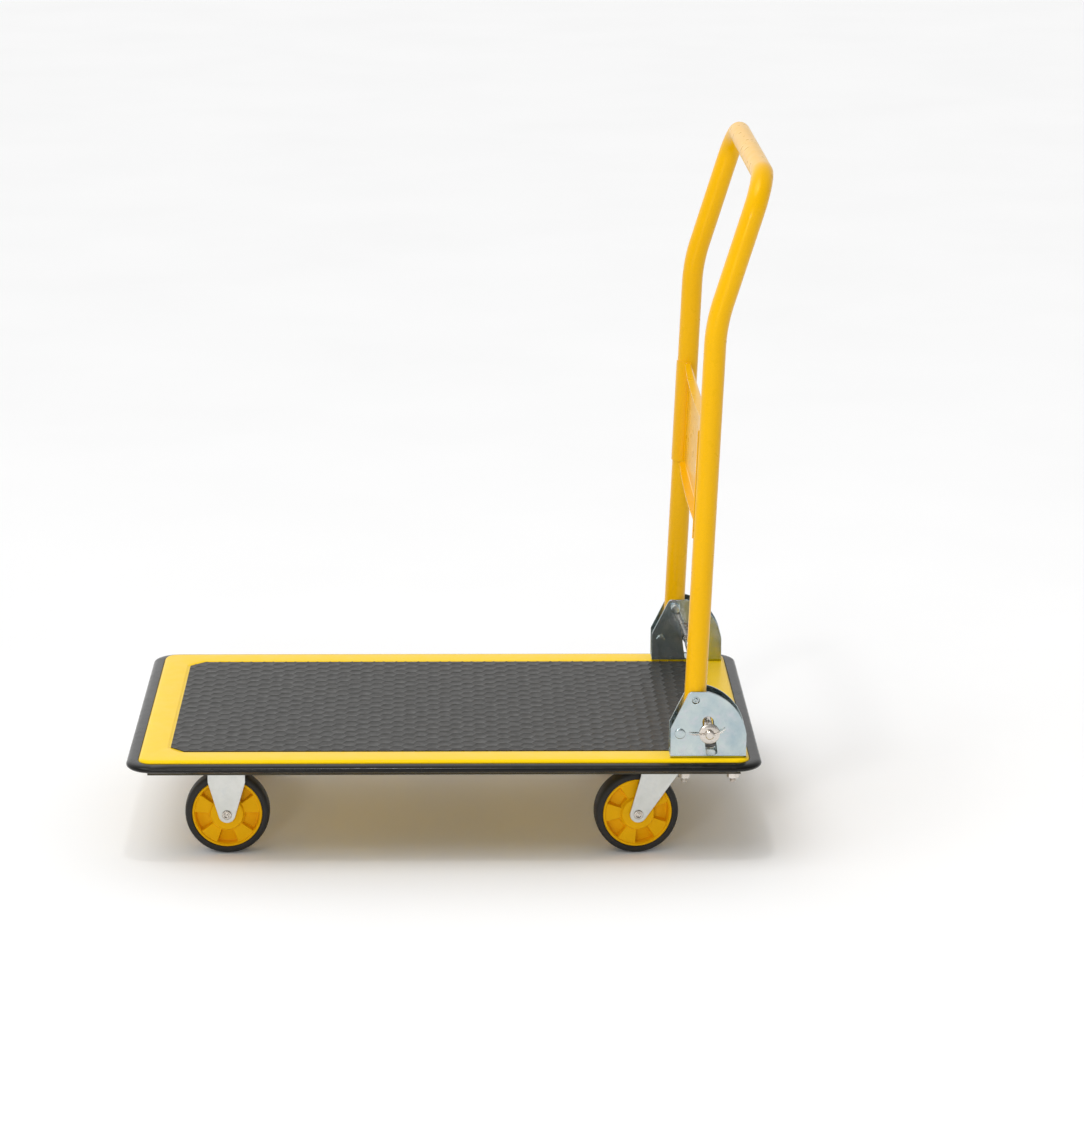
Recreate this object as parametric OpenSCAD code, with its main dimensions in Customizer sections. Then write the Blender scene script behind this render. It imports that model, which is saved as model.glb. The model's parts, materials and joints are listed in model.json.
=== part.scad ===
// Folding platform cart: a pressed steel deck on four casters with a fold-down push handle.
// Millimetres, +Z up and Z = 0 on the floor. X runs along the deck, the handle is at +X.
// "near" is the -Y side and "far" the +Y side.

/* [Deck] */
// Length over the bumper
deck_l = 740; // [600:1:900]
// Width over the bumper
deck_w = 480; // [400:1:600]
// Height of the deck's painted border above the floor
deck_top = 134.6; // [120:0.1:200]
// Sheet thickness
deck_t = 1.5; // [1:0.1:3]
// Height of the folded rim
rim_h = 14.1; // [10:0.1:30]
// Corner radius of the sheet
deck_r = 16.8; // [8:0.1:40]

/* [Bumper] */
// How far the bumper stands out of the rim
bumper_w = 14.2; // [8:0.1:25]
// Height of the bumper strip
bumper_h = 9.4; // [8:0.1:14]
// Drop from the border down to the bumper's top
bumper_drop = 3; // [0:0.1:8]

/* [Mat] */
// Length of the mat
mat_l = 641.8; // [500:0.1:800]
// Width of the mat
mat_w = 374.8; // [300:0.1:500]
// Corner chamfer of the mat
mat_c = 17; // [0:0.5:40]
// Thickness of the mat
mat_t = 1.6; // [1:0.1:4]
// Depth of the pressed recess that holds the mat
recess = 1.2; // [0.5:0.1:3]
// Gap between the mat and the wall of its recess
recess_gap = 1.5; // [0.5:0.1:5]

/* [Underframe] */
// Height of the underframe's lower face
frame_z = 115; // [100:0.5:125]
// Wall of the channels
frame_t = 2.5; // [1.5:0.1:4]
// Width of a side rail
rail_w = 28; // [20:1:40]
// Distance of a side rail's centre from the middle
rail_y = 205; // [180:1:215]
// Half length of a side rail
rail_l = 345; // [300:1:350]
// Width of a channel over the casters
cross_w = 104; // [90:1:140]
// Width of the middle channel
mid_w = 60; // [30:1:100]

/* [Casters] */
// Tyre diameter
wheel_d = 100; // [75:1:125]
// Distance of each wheel from the middle
wheel_y = 151; // [120:1:180]
// X of the fixed casters
fixed_x = -256.7; // [-320:0.1:-200]
// X of the swivel casters' kingpins
swivel_x = 251.5; // [200:0.1:320]
// Trail of a swivel caster
trail = 25; // [15:0.5:40]
// Angle that the near swivel caster stands at
near_turn = 7; // [-45:1:45]
// Angle that the far swivel caster stands at
far_turn = -4; // [-45:1:45]
// Thickness of the caster sheet
fork_t = 2.5; // [2:0.1:4]
// Inner gap between the fork's cheeks
fork_gap = 32; // [28:0.5:45]
// Width of a fixed fork's cheek
cheek_w = 44; // [30:1:60]
// Height where the cheeks begin to taper
cheek_z = 90; // [70:1:100]
// Radius of the cheek's round end
cheek_r = 10; // [8:0.5:16]
// Length of a caster plate
plate_l = 104; // [90:1:120]
// Width of a caster plate
plate_w = 80; // [70:1:100]
// Bolt spacing of a caster plate along X
plate_px = 80; // [60:1:95]
// Bolt spacing of a caster plate along Y
plate_py = 60; // [50:1:80]

/* [Wheels] */
// Radius of the rim
rim_r = 41.5; // [35:0.5:44]
// Tyre width
tyre_w = 26; // [20:0.5:35]
// Hub width
hub_w = 31; // [26:0.5:40]
// Hub radius
hub_r = 19.5; // [12:0.5:24]
// Spokes and pockets
pockets = 5; // [3:1:8]
// Depth of a pocket from the rim's face
pocket_d = 7; // [2:0.5:9]
// Axle bolt radius
axle_r = 4; // [3:0.5:6]

/* [Handle] */
// Tube diameter
tube_d = 25.4; // [20:0.1:32]
// Tube wall
tube_t = 1.5; // [1:0.1:3]
// Distance of each leg from the middle
leg_y = 204; // [150:1:220]
// X of the fold axis
pivot_x = 291.4; // [250:0.1:330]
// Height of the fold axis
pivot_z = 204.6; // [170:0.1:240]
// Lean of the lower leg
lean_low = 2.25; // [0:0.25:10]
// Lean of the upper leg
lean_top = 17.2; // [0:0.1:30]
// Leg length from the fold axis to the bend's corner point
low_l = 440.7; // [300:0.1:600]
// Leg length from the bend's corner point to the top bar's axis
top_l = 174.8; // [100:0.1:300]
// Centreline radius of the bend
bend_r = 200; // [60:1:300]
// Centreline radius of the two top corners
corner_r = 41; // [30:1:80]
// Length of the leg below the fold axis
tail_l = 35; // [20:0.5:36]

/* [Handle panel] */
// Start of the panel above the fold axis
panel_z = 189.5; // [150:0.5:250]
// Height of the panel
panel_h = 127; // [60:1:200]
// Panel sheet thickness
panel_t = 1.2; // [1:0.1:3]
// How far the panel sits behind the tube's axis
panel_back = 2.5; // [0:0.1:6]
// Depth of the folded edges at their ends
panel_fold = 7.5; // [3:0.5:15]
// How much deeper the folded edges are at the middle
panel_bow = 3.5; // [0:0.5:8]

/* [Hinge brackets] */
// Sheet thickness of a bracket
br_t = 2.5; // [2:0.1:4]
// Inner gap of a bracket
br_gap = 26; // [25.5:0.1:30]
// X of a bracket's left edge
br_x = 262.5; // [240:0.5:280]
// Length of a bracket
br_l = 88.5; // [80:0.5:110]
// Height of a bracket
br_h = 80.3; // [70:0.5:90]
// Radius of the bracket's curved back edge
br_r = 62.4; // [50:0.1:80]
// Radius of the pivot pin
pin_r = 4; // [3:0.5:6]
// Radius of the release rod
rod_r = 5; // [3:0.5:6]
// X of the release rod
rod_x = 307.8; // [300:0.1:315]
// Height of the release rod
rod_z = 164.5; // [150:0.5:180]
// Length of the release rod
rod_l = 457; // [445:1:470]
// Tilt of the slot for the rod
slot_tilt = 7.3; // [0:0.1:20]
// Width of the slot
slot_w = 13; // [11:0.1:15]
// Slot length above the rod's rest
slot_up = 14.2; // [10:0.1:20]
// Slot length below the rod's rest
slot_down = 20.1; // [15:0.1:25]
// X of the stop pin
stop_x = 273.6; // [265:0.1:280]

/* [Fasteners] */
// Bolt radius
m_r = 4; // [3:0.5:5]
// Bolt head and nut width across flats
m_af = 13; // [10:0.5:17]
// Bolt head height
m_head = 5.3; // [4:0.1:7]
// Nut height
m_nut = 6.5; // [5:0.1:8]
// Washer thickness
m_washer = 1.6; // [1:0.1:3]
// X of a bracket's first and second bolt
bolt_x = [280, 337.4];
// Clearance between a bolt and its hole
fit = 0.25; // [0.1:0.05:1]

/* [Hidden] */
$fn = 64;
eps = 0.05;
weld = 0.15;
slot_corner = 3;
wheel_r = wheel_d / 2;
in_l = deck_l - 2 * bumper_w;
in_w = deck_w - 2 * bumper_w;
rim_z = deck_top - rim_h;
slab_z = deck_top - recess - deck_t;
mat_z = deck_top - recess;
bumper_z = deck_top - bumper_drop - bumper_h;
plate_z = frame_z - fork_t;
crown_z = 106.2;
race_z = 108.2;
ball_ring = 22;
ball_r = 2.5;
kingpin_r = 6;
bush_r = 6;
split_r = 1;
tube_r = tube_d / 2;
hex_r = m_af / 2 / cos(30);
bend_turn = lean_top - lean_low;
bend_tan = bend_r * tan(bend_turn / 2);
br_out = br_gap / 2 + br_t;
swivel_turn = [near_turn, far_turn];

deck_pan();
side_rails();
cross_channels();
mid_channel();
bumper();
deck_mat();
hinge_bracket(-1);  // hinge_bracket_near
hinge_bracket(1);  // hinge_bracket_far
bracket_bolts();
bracket_washers();
bracket_nuts();
pivot_pins();
stop_pins();
release_rod();
rod_washers();
rod_split_pins();
release_spring(-1);  // release_spring_near
release_spring(1);  // release_spring_far
handle_tube();
handle_panel();
fixed_fork(-1);  // fixed_fork_near
fixed_fork(1);  // fixed_fork_far
fixed_axle_bolts();
fixed_axle_nuts();
swivel_top_plates();
kingpins();
swivel_balls();
at_swivel(-1) swivel_fork();  // swivel_fork_near
at_swivel(1) swivel_fork();  // swivel_fork_far
at_swivel(-1) at_axle() axle_bolt();  // swivel_axle_bolt_near
at_swivel(1) at_axle() scale([1, -1, 1]) axle_bolt();  // swivel_axle_bolt_far
at_swivel(-1) at_axle() axle_nut();  // swivel_axle_nut_near
at_swivel(1) at_axle() scale([1, -1, 1]) axle_nut();  // swivel_axle_nut_far
at_fixed(-1) rim();  // rim_fixed_near
at_fixed(1) rim();  // rim_fixed_far
at_swivel(-1) at_axle() rotate([0, -5, 0]) rim();  // rim_swivel_near
at_swivel(1) at_axle() rim();  // rim_swivel_far
at_fixed(-1) tyre();  // tyre_fixed_near
at_fixed(1) tyre();  // tyre_fixed_far
at_swivel(-1) at_axle() tyre();  // tyre_swivel_near
at_swivel(1) at_axle() tyre();  // tyre_swivel_far
at_fixed(-1) bush();  // bush_fixed_near
at_fixed(1) bush();  // bush_fixed_far
at_swivel(-1) at_axle() bush();  // bush_swivel_near
at_swivel(1) at_axle() bush();  // bush_swivel_far
caster_bolts();
caster_nuts();

// ---- shared shapes ----

// Rectangle with true round corners, centred
module rounded(l, w, r) {
    square([l - 2 * r, w], center = true);
    square([l, w - 2 * r], center = true);
    for (x = [-1, 1], y = [-1, 1]) translate([x * (l / 2 - r), y * (w / 2 - r)]) circle(r);
}

// Rectangle with chamfered corners, centred
module chamfered(l, w, c) {
    x = l / 2;
    y = w / 2;
    polygon([[x - c, -y], [x, c - y], [x, y - c], [x - c, y], [c - x, y], [-x, y - c], [-x, c - y], [c - x, -y]]);
}

// A cylinder along +Y from y0, seen from either side
module rod_y(r, y0, l) {
    translate([0, y0, 0]) rotate([-90, 0, 0]) cylinder(r = r, h = l);
}

// A hexagon along +Y from y0
module hex_y(r, y0, l) {
    translate([0, y0, 0]) rotate([-90, 0, 0]) cylinder(r = r, h = l, $fn = 6);
}

// A plate standing in the XZ plane, from y0 for t
module upright(y0, t) {
    translate([0, y0 + t, 0]) rotate([90, 0, 0]) linear_extrude(t) children();
}

// ---- deck ----

module deck_pan() {
    color([0.98, 0.84, 0.22]) difference() {
        translate([0, 0, rim_z]) linear_extrude(rim_h) rounded(in_l, in_w, deck_r);
        translate([0, 0, mat_z]) linear_extrude(rim_h)
            chamfered(mat_l + 2 * recess_gap, mat_w + 2 * recess_gap, mat_c);
        difference() {
            translate([0, 0, rim_z - 1]) linear_extrude(rim_h - deck_t + 1)
                rounded(in_l - 2 * deck_t, in_w - 2 * deck_t, deck_r - deck_t);
            translate([0, 0, slab_z]) linear_extrude(rim_h) chamfered(
                mat_l + 2 * recess_gap + 2 * deck_t, mat_w + 2 * recess_gap + 2 * deck_t, mat_c);
        }
        for (x = bolt_x, y = [-1, 1]) translate([x, y * rail_y, rim_z]) cylinder(r = m_r + fit, h = rim_h + 1);
    }
}

module deck_mat() {
    color([0.24, 0.24, 0.23]) translate([0, 0, mat_z]) linear_extrude(mat_t) chamfered(mat_l, mat_w, mat_c);
}

// A U channel along X, open at the top, with walls up to z1
module channel(l, w, z1) {
    translate([-l / 2, -w / 2, frame_z]) difference() {
        cube([l, w, z1 - frame_z]);
        translate([-1, frame_t, frame_t]) cube([l + 2, w - 2 * frame_t, z1]);
    }
}

module side_rails() {
    color([0.16, 0.16, 0.16]) for (s = [-1, 1]) difference() {
        translate([0, s * rail_y, 0]) channel(2 * rail_l, rail_w, deck_top - deck_t);
        for (x = bolt_x) translate([x, s * rail_y, frame_z - 1]) cylinder(r = m_r + fit, h = frame_t + 2);
    }
}

module cross_channel(w) {
    rotate([0, 0, 90]) channel(2 * rail_y - rail_w, w, slab_z);
}

module cross_channels() {
    color([0.16, 0.16, 0.16]) for (x = [fixed_x, swivel_x]) difference() {
        translate([x, 0, 0]) cross_channel(cross_w);
        for (s = [-1, 1]) translate([x, s * wheel_y, 0]) {
            plate_holes();
            translate([0, 0, frame_z - 1]) cylinder(r = kingpin_r + 1, h = frame_t + 2);
        }
    }
}

module mid_channel() {
    color([0.16, 0.16, 0.16]) cross_channel(mid_w);
}

// Bumper section: u out of the rim, v up
module bumper_section() {
    r = bumper_h / 2;
    translate([eps, bumper_z]) square([bumper_w - r - eps, bumper_h]);
    translate([bumper_w - r, bumper_z + r]) circle(r);
}

module bumper() {
    color([0.1, 0.1, 0.1]) for (q = [0:3]) {
        l = q % 2 == 0 ? in_l : in_w;
        w = q % 2 == 0 ? in_w : in_l;
        rotate([0, 0, 90 * q]) {
            translate([l / 2 - deck_r, w / 2, 0]) rotate([90, 0, -90]) linear_extrude(l - 2 * deck_r)
                mirror([1, 0]) bumper_section();
            translate([l / 2 - deck_r, w / 2 - deck_r, 0]) rotate_extrude(angle = 90)
                translate([deck_r, 0]) bumper_section();
        }
    }
}

// ---- hinge brackets ----

module bracket_outline() {
    difference() {
        polygon([[0, 0], [br_l, 0], [br_l, br_h], [21.5, br_h], [0, 36]]);
        difference() {
            translate([43, 29]) square([br_l, br_h]);
            translate([26.7, 20.25]) circle(br_r);
        }
    }
}

// The slot that the release rod moves in, in the bracket's own XZ plane
module rod_slot() {
    w = slot_w / 2;
    c = slot_corner;
    foot = -slot_down - w;
    translate([rod_x - br_x, rod_z - deck_top]) rotate(slot_tilt) {
        translate([-w, foot + c]) square([slot_w, slot_up - foot - c]);
        translate([c - w, foot]) square([slot_w - 2 * c, c + 1]);
        for (x = [-1, 1]) translate([x * (w - c), foot + c]) circle(c);
        translate([0, slot_up]) circle(w);
    }
}

module bracket_cheek(y0) {
    translate([br_x, 0, deck_top]) upright(y0, br_t) difference() {
        bracket_outline();
        rod_slot();
        translate([pivot_x - br_x, pivot_z - deck_top]) circle(pin_r + eps);
        translate([stop_x - br_x, rod_z - deck_top]) circle(3 + eps);
    }
}

module hinge_bracket(s) {
    color([0.78, 0.8, 0.82]) translate([0, s * leg_y, 0]) {
        for (c = [-1, 1]) bracket_cheek(c < 0 ? -br_out : br_out - br_t);
        difference() {
            translate([br_x, -br_out, deck_top]) cube([br_l, 2 * br_out, br_t]);
            for (x = bolt_x) translate([x, s * (rail_y - leg_y), deck_top - 1])
                cylinder(r = m_r + fit, h = br_t + 2);
        }
    }
}

module bracket_bolts() {
    bolt_l = deck_top + br_t - frame_z + m_washer + m_nut + 4;
    color([0.8, 0.78, 0.7]) for (x = bolt_x, s = [-1, 1]) translate([x, s * rail_y, deck_top + br_t]) {
        cylinder(r = hex_r, h = m_head, $fn = 6);
        translate([0, 0, -bolt_l]) cylinder(r = m_r, h = bolt_l + 1);
    }
}

module bracket_washers() {
    color([0.75, 0.68, 0.5]) for (x = bolt_x, s = [-1, 1])
        translate([x, s * rail_y, frame_z - m_washer]) difference() {
            cylinder(r = 8, h = m_washer);
            translate([0, 0, -1]) cylinder(r = m_r + fit, h = m_washer + 2);
        }
}

module bracket_nuts() {
    color([0.8, 0.78, 0.7]) for (x = bolt_x, s = [-1, 1])
        translate([x, s * rail_y, frame_z - m_washer - m_nut]) nut();
}

module nut() {
    difference() {
        cylinder(r = hex_r, h = m_nut, $fn = 6);
        translate([0, 0, -1]) cylinder(r = m_r + eps, h = m_nut + 2);
    }
}

// Pin through a bracket and a leg, with a riveted outer end and a neck inside for the spring
module pivot_pins() {
    color([0.72, 0.72, 0.7]) for (s = [-1, 1]) translate([pivot_x, s * leg_y, pivot_z])
        scale([1, s, 1]) {
            rod_y(pin_r, -br_out - 8, 2 * br_out + 9);
            rod_y(pin_r + 0.8, br_out + eps, 1.4);
            rod_y(pin_r + 2.5, -br_out - 1.3, 1.2);
            rod_y(pin_r + 1.5, -br_out - 9, 1.2);
        }
}

module stop_pins() {
    color([0.75, 0.75, 0.73]) for (s = [-1, 1]) translate([stop_x, s * leg_y, rod_z]) scale([1, s, 1]) {
        rod_y(3, -br_out - 2.5, 2 * br_out + 3.5);
        intersection() {
            rod_y(6.4, br_out + eps, 2.6);
            translate([0, br_out - 6.8, 0]) sphere(r = 9.8);
        }
        hex_y(5, -br_out - 3.5, 3.4);
    }
}

module release_rod() {
    color([0.75, 0.75, 0.73]) translate([rod_x, 0, rod_z]) difference() {
        rod_y(rod_r, -rod_l / 2, rod_l);
        for (s = [-1, 1]) translate([-rod_r - 1, s * split_y(), 0]) rotate([0, 90, 0])
            cylinder(r = split_r + 0.2, h = 2 * rod_r + 2);
    }
}

function washer_y() = leg_y + br_out + 0.5;
function split_y() = washer_y() + m_washer + 1.9;

module rod_washers() {
    color([0.78, 0.76, 0.7]) for (s = [-1, 1]) translate([rod_x, 0, rod_z]) scale([1, s, 1])
        difference() {
            rod_y(12, washer_y(), m_washer);
            rod_y(rod_r + fit, washer_y() - 1, m_washer + 2);
        }
}

// A split pin lying along X, one leg straight and one bent up
module rod_split_pins() {
    color([0.7, 0.7, 0.68]) for (s = [-1, 1]) translate([rod_x, s * split_y(), rod_z]) {
        translate([-24, 0, 0]) rotate([0, 90, 0]) cylinder(r = split_r, h = 32);
        translate([8, 0, 0]) sphere(r = split_r);
        translate([8, 0, 0]) rotate([0, 62, 0]) cylinder(r = split_r, h = 13.5);
    }
}

// Close-wound tension spring between the pivot pin's inner end and the rod
module release_spring(s) {
    dx = rod_x - pivot_x;
    dz = rod_z - pivot_z;
    l = norm([dx, dz]);
    hook = 6.9;
    coil = l - 2 * hook;
    turns = floor(coil / 1.2);
    y = s * (leg_y - br_out - 4);
    color([0.6, 0.6, 0.6]) translate([pivot_x, y, pivot_z]) rotate([0, atan2(dx, dz), 0]) {
        translate([0, 0, hook]) rotate_extrude() for (i = [0:turns - 1])
            translate([3, (i + 0.5) * coil / turns]) circle(0.65);
        for (e = [[0, pin_r, 1], [l, rod_r, -1]]) translate([0, 0, e[0]]) rotate([90, 0, 0])
            rotate_extrude() translate([e[1] + 0.75, 0]) circle(0.6);
        for (e = [[pin_r + 0.4, hook + 0.5 - pin_r], [l - hook - 0.1, hook - rod_r - 0.3]])
            translate([0, 0, e[0]]) cylinder(r = 0.6, h = e[1]);
        for (z = [hook + 0.1, l - hook - 0.7]) translate([-3, -0.6, z]) cube([6, 1.2, 0.6]);
    }
}

// ---- handle ----

// Frame of a leg: origin on the fold axis, +Z up the lower leg
module on_leg() {
    translate([pivot_x, 0, pivot_z]) rotate([0, lean_low, 0]) children();
}

module tube(l) {
    difference() {
        cylinder(r = tube_r, h = l);
        translate([0, 0, -1]) cylinder(r = tube_r - tube_t, h = l + 2);
    }
}

// A bent piece of tube: starts at the origin along +Z and bends towards +X
module tube_bend(r, turn) {
    translate([r, 0, 0]) rotate([90, 0, 0]) rotate([0, 0, 180 - turn]) rotate_extrude(angle = turn)
        translate([r, 0]) difference() {
            circle(tube_r);
            circle(tube_r - tube_t);
        }
}

// A weld ring that closes the seam between two lengths of tube
module seam() {
    difference() {
        cylinder(r = tube_r + weld, h = 1, center = true);
        cylinder(r = tube_r - tube_t - weld, h = 2, center = true);
    }
}

module leg() {
    on_leg() translate([0, leg_y, 0]) {
        difference() {
            translate([0, 0, -tail_l]) tube(tail_l + low_l - bend_tan);
            rod_y(pin_r + eps, -tube_r - 1, tube_d + 2);
        }
        translate([0, 0, low_l - bend_tan]) {
            tube_bend(bend_r, bend_turn);
            seam();
        }
        translate([0, 0, low_l]) rotate([0, bend_turn, 0]) {
            translate([0, 0, bend_tan]) {
                tube(top_l - bend_tan - corner_r);
                seam();
            }
            translate([0, 0, top_l - corner_r]) {
                rotate([0, 0, -90]) tube_bend(corner_r, 90);
                seam();
            }
            translate([0, -corner_r, top_l]) rotate([90, 0, 0]) seam();
        }
    }
}

module handle_tube() {
    bar = leg_y - corner_r;
    color([0.93, 0.7, 0.08]) {
        leg();
        mirror([0, 1, 0]) leg();
        on_leg() translate([0, 0, low_l]) rotate([0, bend_turn, 0]) translate([0, -bar, top_l])
            rotate([-90, 0, 0]) tube(2 * bar);
    }
}

// The wing that wraps a leg, in the leg's section plane
module wing() {
    sweep = 105;
    intersection() {
        difference() {
            circle(tube_r + eps + panel_t);
            circle(tube_r + eps);
        }
        polygon([[0, 0], [-40, 0], [-40, -40], [-40 * cos(sweep), -40 * sin(sweep)]]);
    }
}

// A folded edge in plan: straight along the sheet, bowed along its free side
module panel_lip(half) {
    steps = 4;
    polygon(concat([[panel_back, half], [panel_back, -half]], [for (i = [-steps:steps])
        [panel_back - panel_fold - panel_bow * (1 - pow(i / steps, 2)), half * i / steps]]));
}

module handle_panel() {
    clear = 0.15;
    half = leg_y - tube_r - clear;
    color([0.96, 0.76, 0.1]) on_leg() translate([0, 0, panel_z]) {
        translate([panel_back - panel_t / 2, -half, 0]) cube([panel_t, 2 * half, panel_h]);
        for (z = [0, panel_h - panel_t]) translate([0, 0, z]) linear_extrude(panel_t) panel_lip(half - 7);
        for (s = [-1, 1]) scale([1, s, 1]) translate([0, leg_y, 0]) linear_extrude(panel_h) wing();
    }
}

// ---- casters ----

// Frame of a fixed caster's wheel: origin at the wheel's centre
module at_fixed(s) {
    translate([fixed_x, s * wheel_y, wheel_r]) children();
}

// Frame of a swivel caster: origin on the kingpin at the floor, the wheel trails to -X
module at_swivel(s) {
    translate([swivel_x, s * wheel_y, 0]) rotate([0, 0, swivel_turn[(s + 1) / 2]]) children();
}

module at_axle() {
    translate([-trail, 0, wheel_r]) children();
}

module plate_holes() {
    for (x = [-1, 1], y = [-1, 1]) translate([x * plate_px / 2, y * plate_py / 2, plate_z - 1])
        cylinder(r = m_r + fit, h = 10);
}

module caster_plate() {
    translate([0, 0, plate_z]) linear_extrude(fork_t) rounded(plate_l, plate_w, 6);
}

// Cheek outline: straight edges x0 and x1 down from z1, then tapering to the round end at the axle
module cheek(x0, x1, z1, taper) {
    n = cheek_r;
    polygon([[x0, z1], [x0, taper], [-n * 0.97, wheel_r - n * 0.25], [n * 0.97, wheel_r - n * 0.25],
        [x1, taper], [x1, z1]]);
    translate([0, wheel_r]) circle(n);
}

module cheeks(x0, x1, z1, taper) {
    for (s = [-1, 1]) upright(s < 0 ? -fork_gap / 2 - fork_t : fork_gap / 2, fork_t) difference() {
        cheek(x0, x1, z1, taper);
        translate([0, wheel_r]) circle(axle_r + eps);
    }
}

module fixed_fork(s) {
    color([0.8, 0.81, 0.79]) translate([fixed_x, s * wheel_y, 0]) {
        difference() {
            caster_plate();
            plate_holes();
        }
        cheeks(-cheek_w / 2, cheek_w / 2, plate_z + 0.5, cheek_z);
    }
}

module swivel_top_plates() {
    color([0.8, 0.81, 0.79]) for (s = [-1, 1]) translate([swivel_x, s * wheel_y, 0]) difference() {
        union() {
            caster_plate();
            translate([0, 0, race_z]) cylinder(r = 28, h = plate_z - race_z + 1);
        }
        plate_holes();
        translate([0, 0, race_z - 1]) cylinder(r = 16, h = plate_z - race_z + 1);
        translate([0, 0, race_z - 1]) cylinder(r = kingpin_r + eps, h = 10);
        ball_groove();
    }
}

module ball_groove() {
    translate([0, 0, (crown_z + race_z) / 2]) rotate_extrude() translate([ball_ring, 0]) circle(ball_r + 0.1);
}

module swivel_balls() {
    color([0.7, 0.7, 0.7]) for (s = [-1, 1], i = [0:11])
        translate([swivel_x, s * wheel_y, (crown_z + race_z) / 2]) rotate(30 * i)
            translate([ball_ring, 0, 0]) sphere(r = ball_r);
}

module kingpins() {
    color([0.7, 0.7, 0.7]) for (s = [-1, 1]) translate([swivel_x, s * wheel_y, 0]) {
        translate([0, 0, 101.2]) cylinder(r = kingpin_r, h = frame_z - 101.2);
        translate([0, 0, 100.8]) cylinder(r = 10, h = 2.6);
    }
}

module swivel_fork() {
    crown_t = 2.7;
    color([0.8, 0.81, 0.79]) difference() {
        union() {
            translate([0, 0, crown_z - crown_t]) {
                cylinder(r = 29, h = crown_t);
                translate([-20.5, -fork_gap / 2 - fork_t, 0]) cube([37.5, fork_gap + 2 * fork_t, crown_t]);
            }
            translate([-trail, 0, 0]) cheeks(trail - 20.5, trail + 17, crown_z, 91);
        }
        translate([0, 0, crown_z - crown_t - 1]) cylinder(r = kingpin_r + eps, h = crown_t + 2);
        ball_groove();
    }
}

module axle_bolt() {
    color([0.75, 0.75, 0.73]) {
        rod_y(axle_r, -fork_gap / 2 - fork_t - 1, fork_gap + 2 * fork_t + m_nut + 3);
        rod_y(6, -fork_gap / 2 - fork_t - 3.6, 3.5);
    }
}

module axle_nut() {
    color([0.75, 0.75, 0.73]) translate([0, fork_gap / 2 + fork_t + eps, 0]) rotate([-90, 0, 0]) nut();
}

module fixed_axle_bolts() {
    for (s = [-1, 1]) at_fixed(s) scale([1, -s, 1]) axle_bolt();
}

module fixed_axle_nuts() {
    for (s = [-1, 1]) at_fixed(s) scale([1, -s, 1]) axle_nut();
}

module caster_bolts() {
    color([0.75, 0.75, 0.73]) for (x = [fixed_x, swivel_x], s = [-1, 1], i = [-1, 1], j = [-1, 1])
        translate([x + i * plate_px / 2, s * wheel_y + j * plate_py / 2, 0]) {
            translate([0, 0, plate_z - m_head]) cylinder(r = hex_r, h = m_head, $fn = 6);
            translate([0, 0, plate_z - 1]) cylinder(r = m_r, h = 14);
        }
}

module caster_nuts() {
    color([0.75, 0.75, 0.73]) for (x = [fixed_x, swivel_x], s = [-1, 1], i = [-1, 1], j = [-1, 1])
        translate([x + i * plate_px / 2, s * wheel_y + j * plate_py / 2, frame_z + frame_t]) nut();
}

// ---- wheels, axis along Y ----

// Turns a section drawn as radius and width into a ring about Y
module about_y() {
    rotate([90, 0, 0]) rotate_extrude() children();
}

// One face's pockets between the hub and the flange
module pocket_sectors() {
    half = 90 / pockets;
    for (i = [0:pockets - 1]) rotate(-90 + i * 360 / pockets) intersection() {
        difference() {
            circle(rim_r - 4.5);
            circle(hub_r + 1.5);
        }
        polygon([[0, 0], [60 * cos(half), -60 * sin(half)], [60 * cos(half), 60 * sin(half)]]);
    }
}

module rim() {
    face = 11;
    color([0.93, 0.7, 0.08]) difference() {
        about_y() {
            translate([bush_r + eps, -face]) square([rim_r - bush_r - eps, 2 * face]);
            translate([bush_r + eps, -hub_w / 2]) square([hub_r - bush_r - eps, hub_w]);
            translate([rim_r - 3, -face - 1]) square([3, 2 * face + 2]);
        }
        for (s = [-1, 1]) upright(s < 0 ? -face - 1 : face - pocket_d, pocket_d + 1) pocket_sectors();
    }
}

module tyre() {
    round_r = 4;
    color([0.19, 0.18, 0.16]) about_y() {
        translate([rim_r + eps, -tyre_w / 2]) square([wheel_r - round_r - rim_r - eps, tyre_w]);
        translate([wheel_r - round_r - 0.1, -tyre_w / 2 + round_r]) square([round_r + 0.1, tyre_w - 2 * round_r]);
        for (s = [-1, 1]) translate([wheel_r - round_r, s * (tyre_w / 2 - round_r)]) circle(round_r);
    }
}

module bush() {
    color([0.6, 0.6, 0.6]) about_y() translate([axle_r + eps, -fork_gap / 2 + 0.2])
        square([bush_r - axle_r - eps, fork_gap - 0.4]);
}
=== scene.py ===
"""Looks for the folding platform cart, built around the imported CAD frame. Metres, +Z up, handle at +X."""

import json
import math

import bmesh
import bpy
import numpy as np
from mathutils import Matrix, Vector

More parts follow.
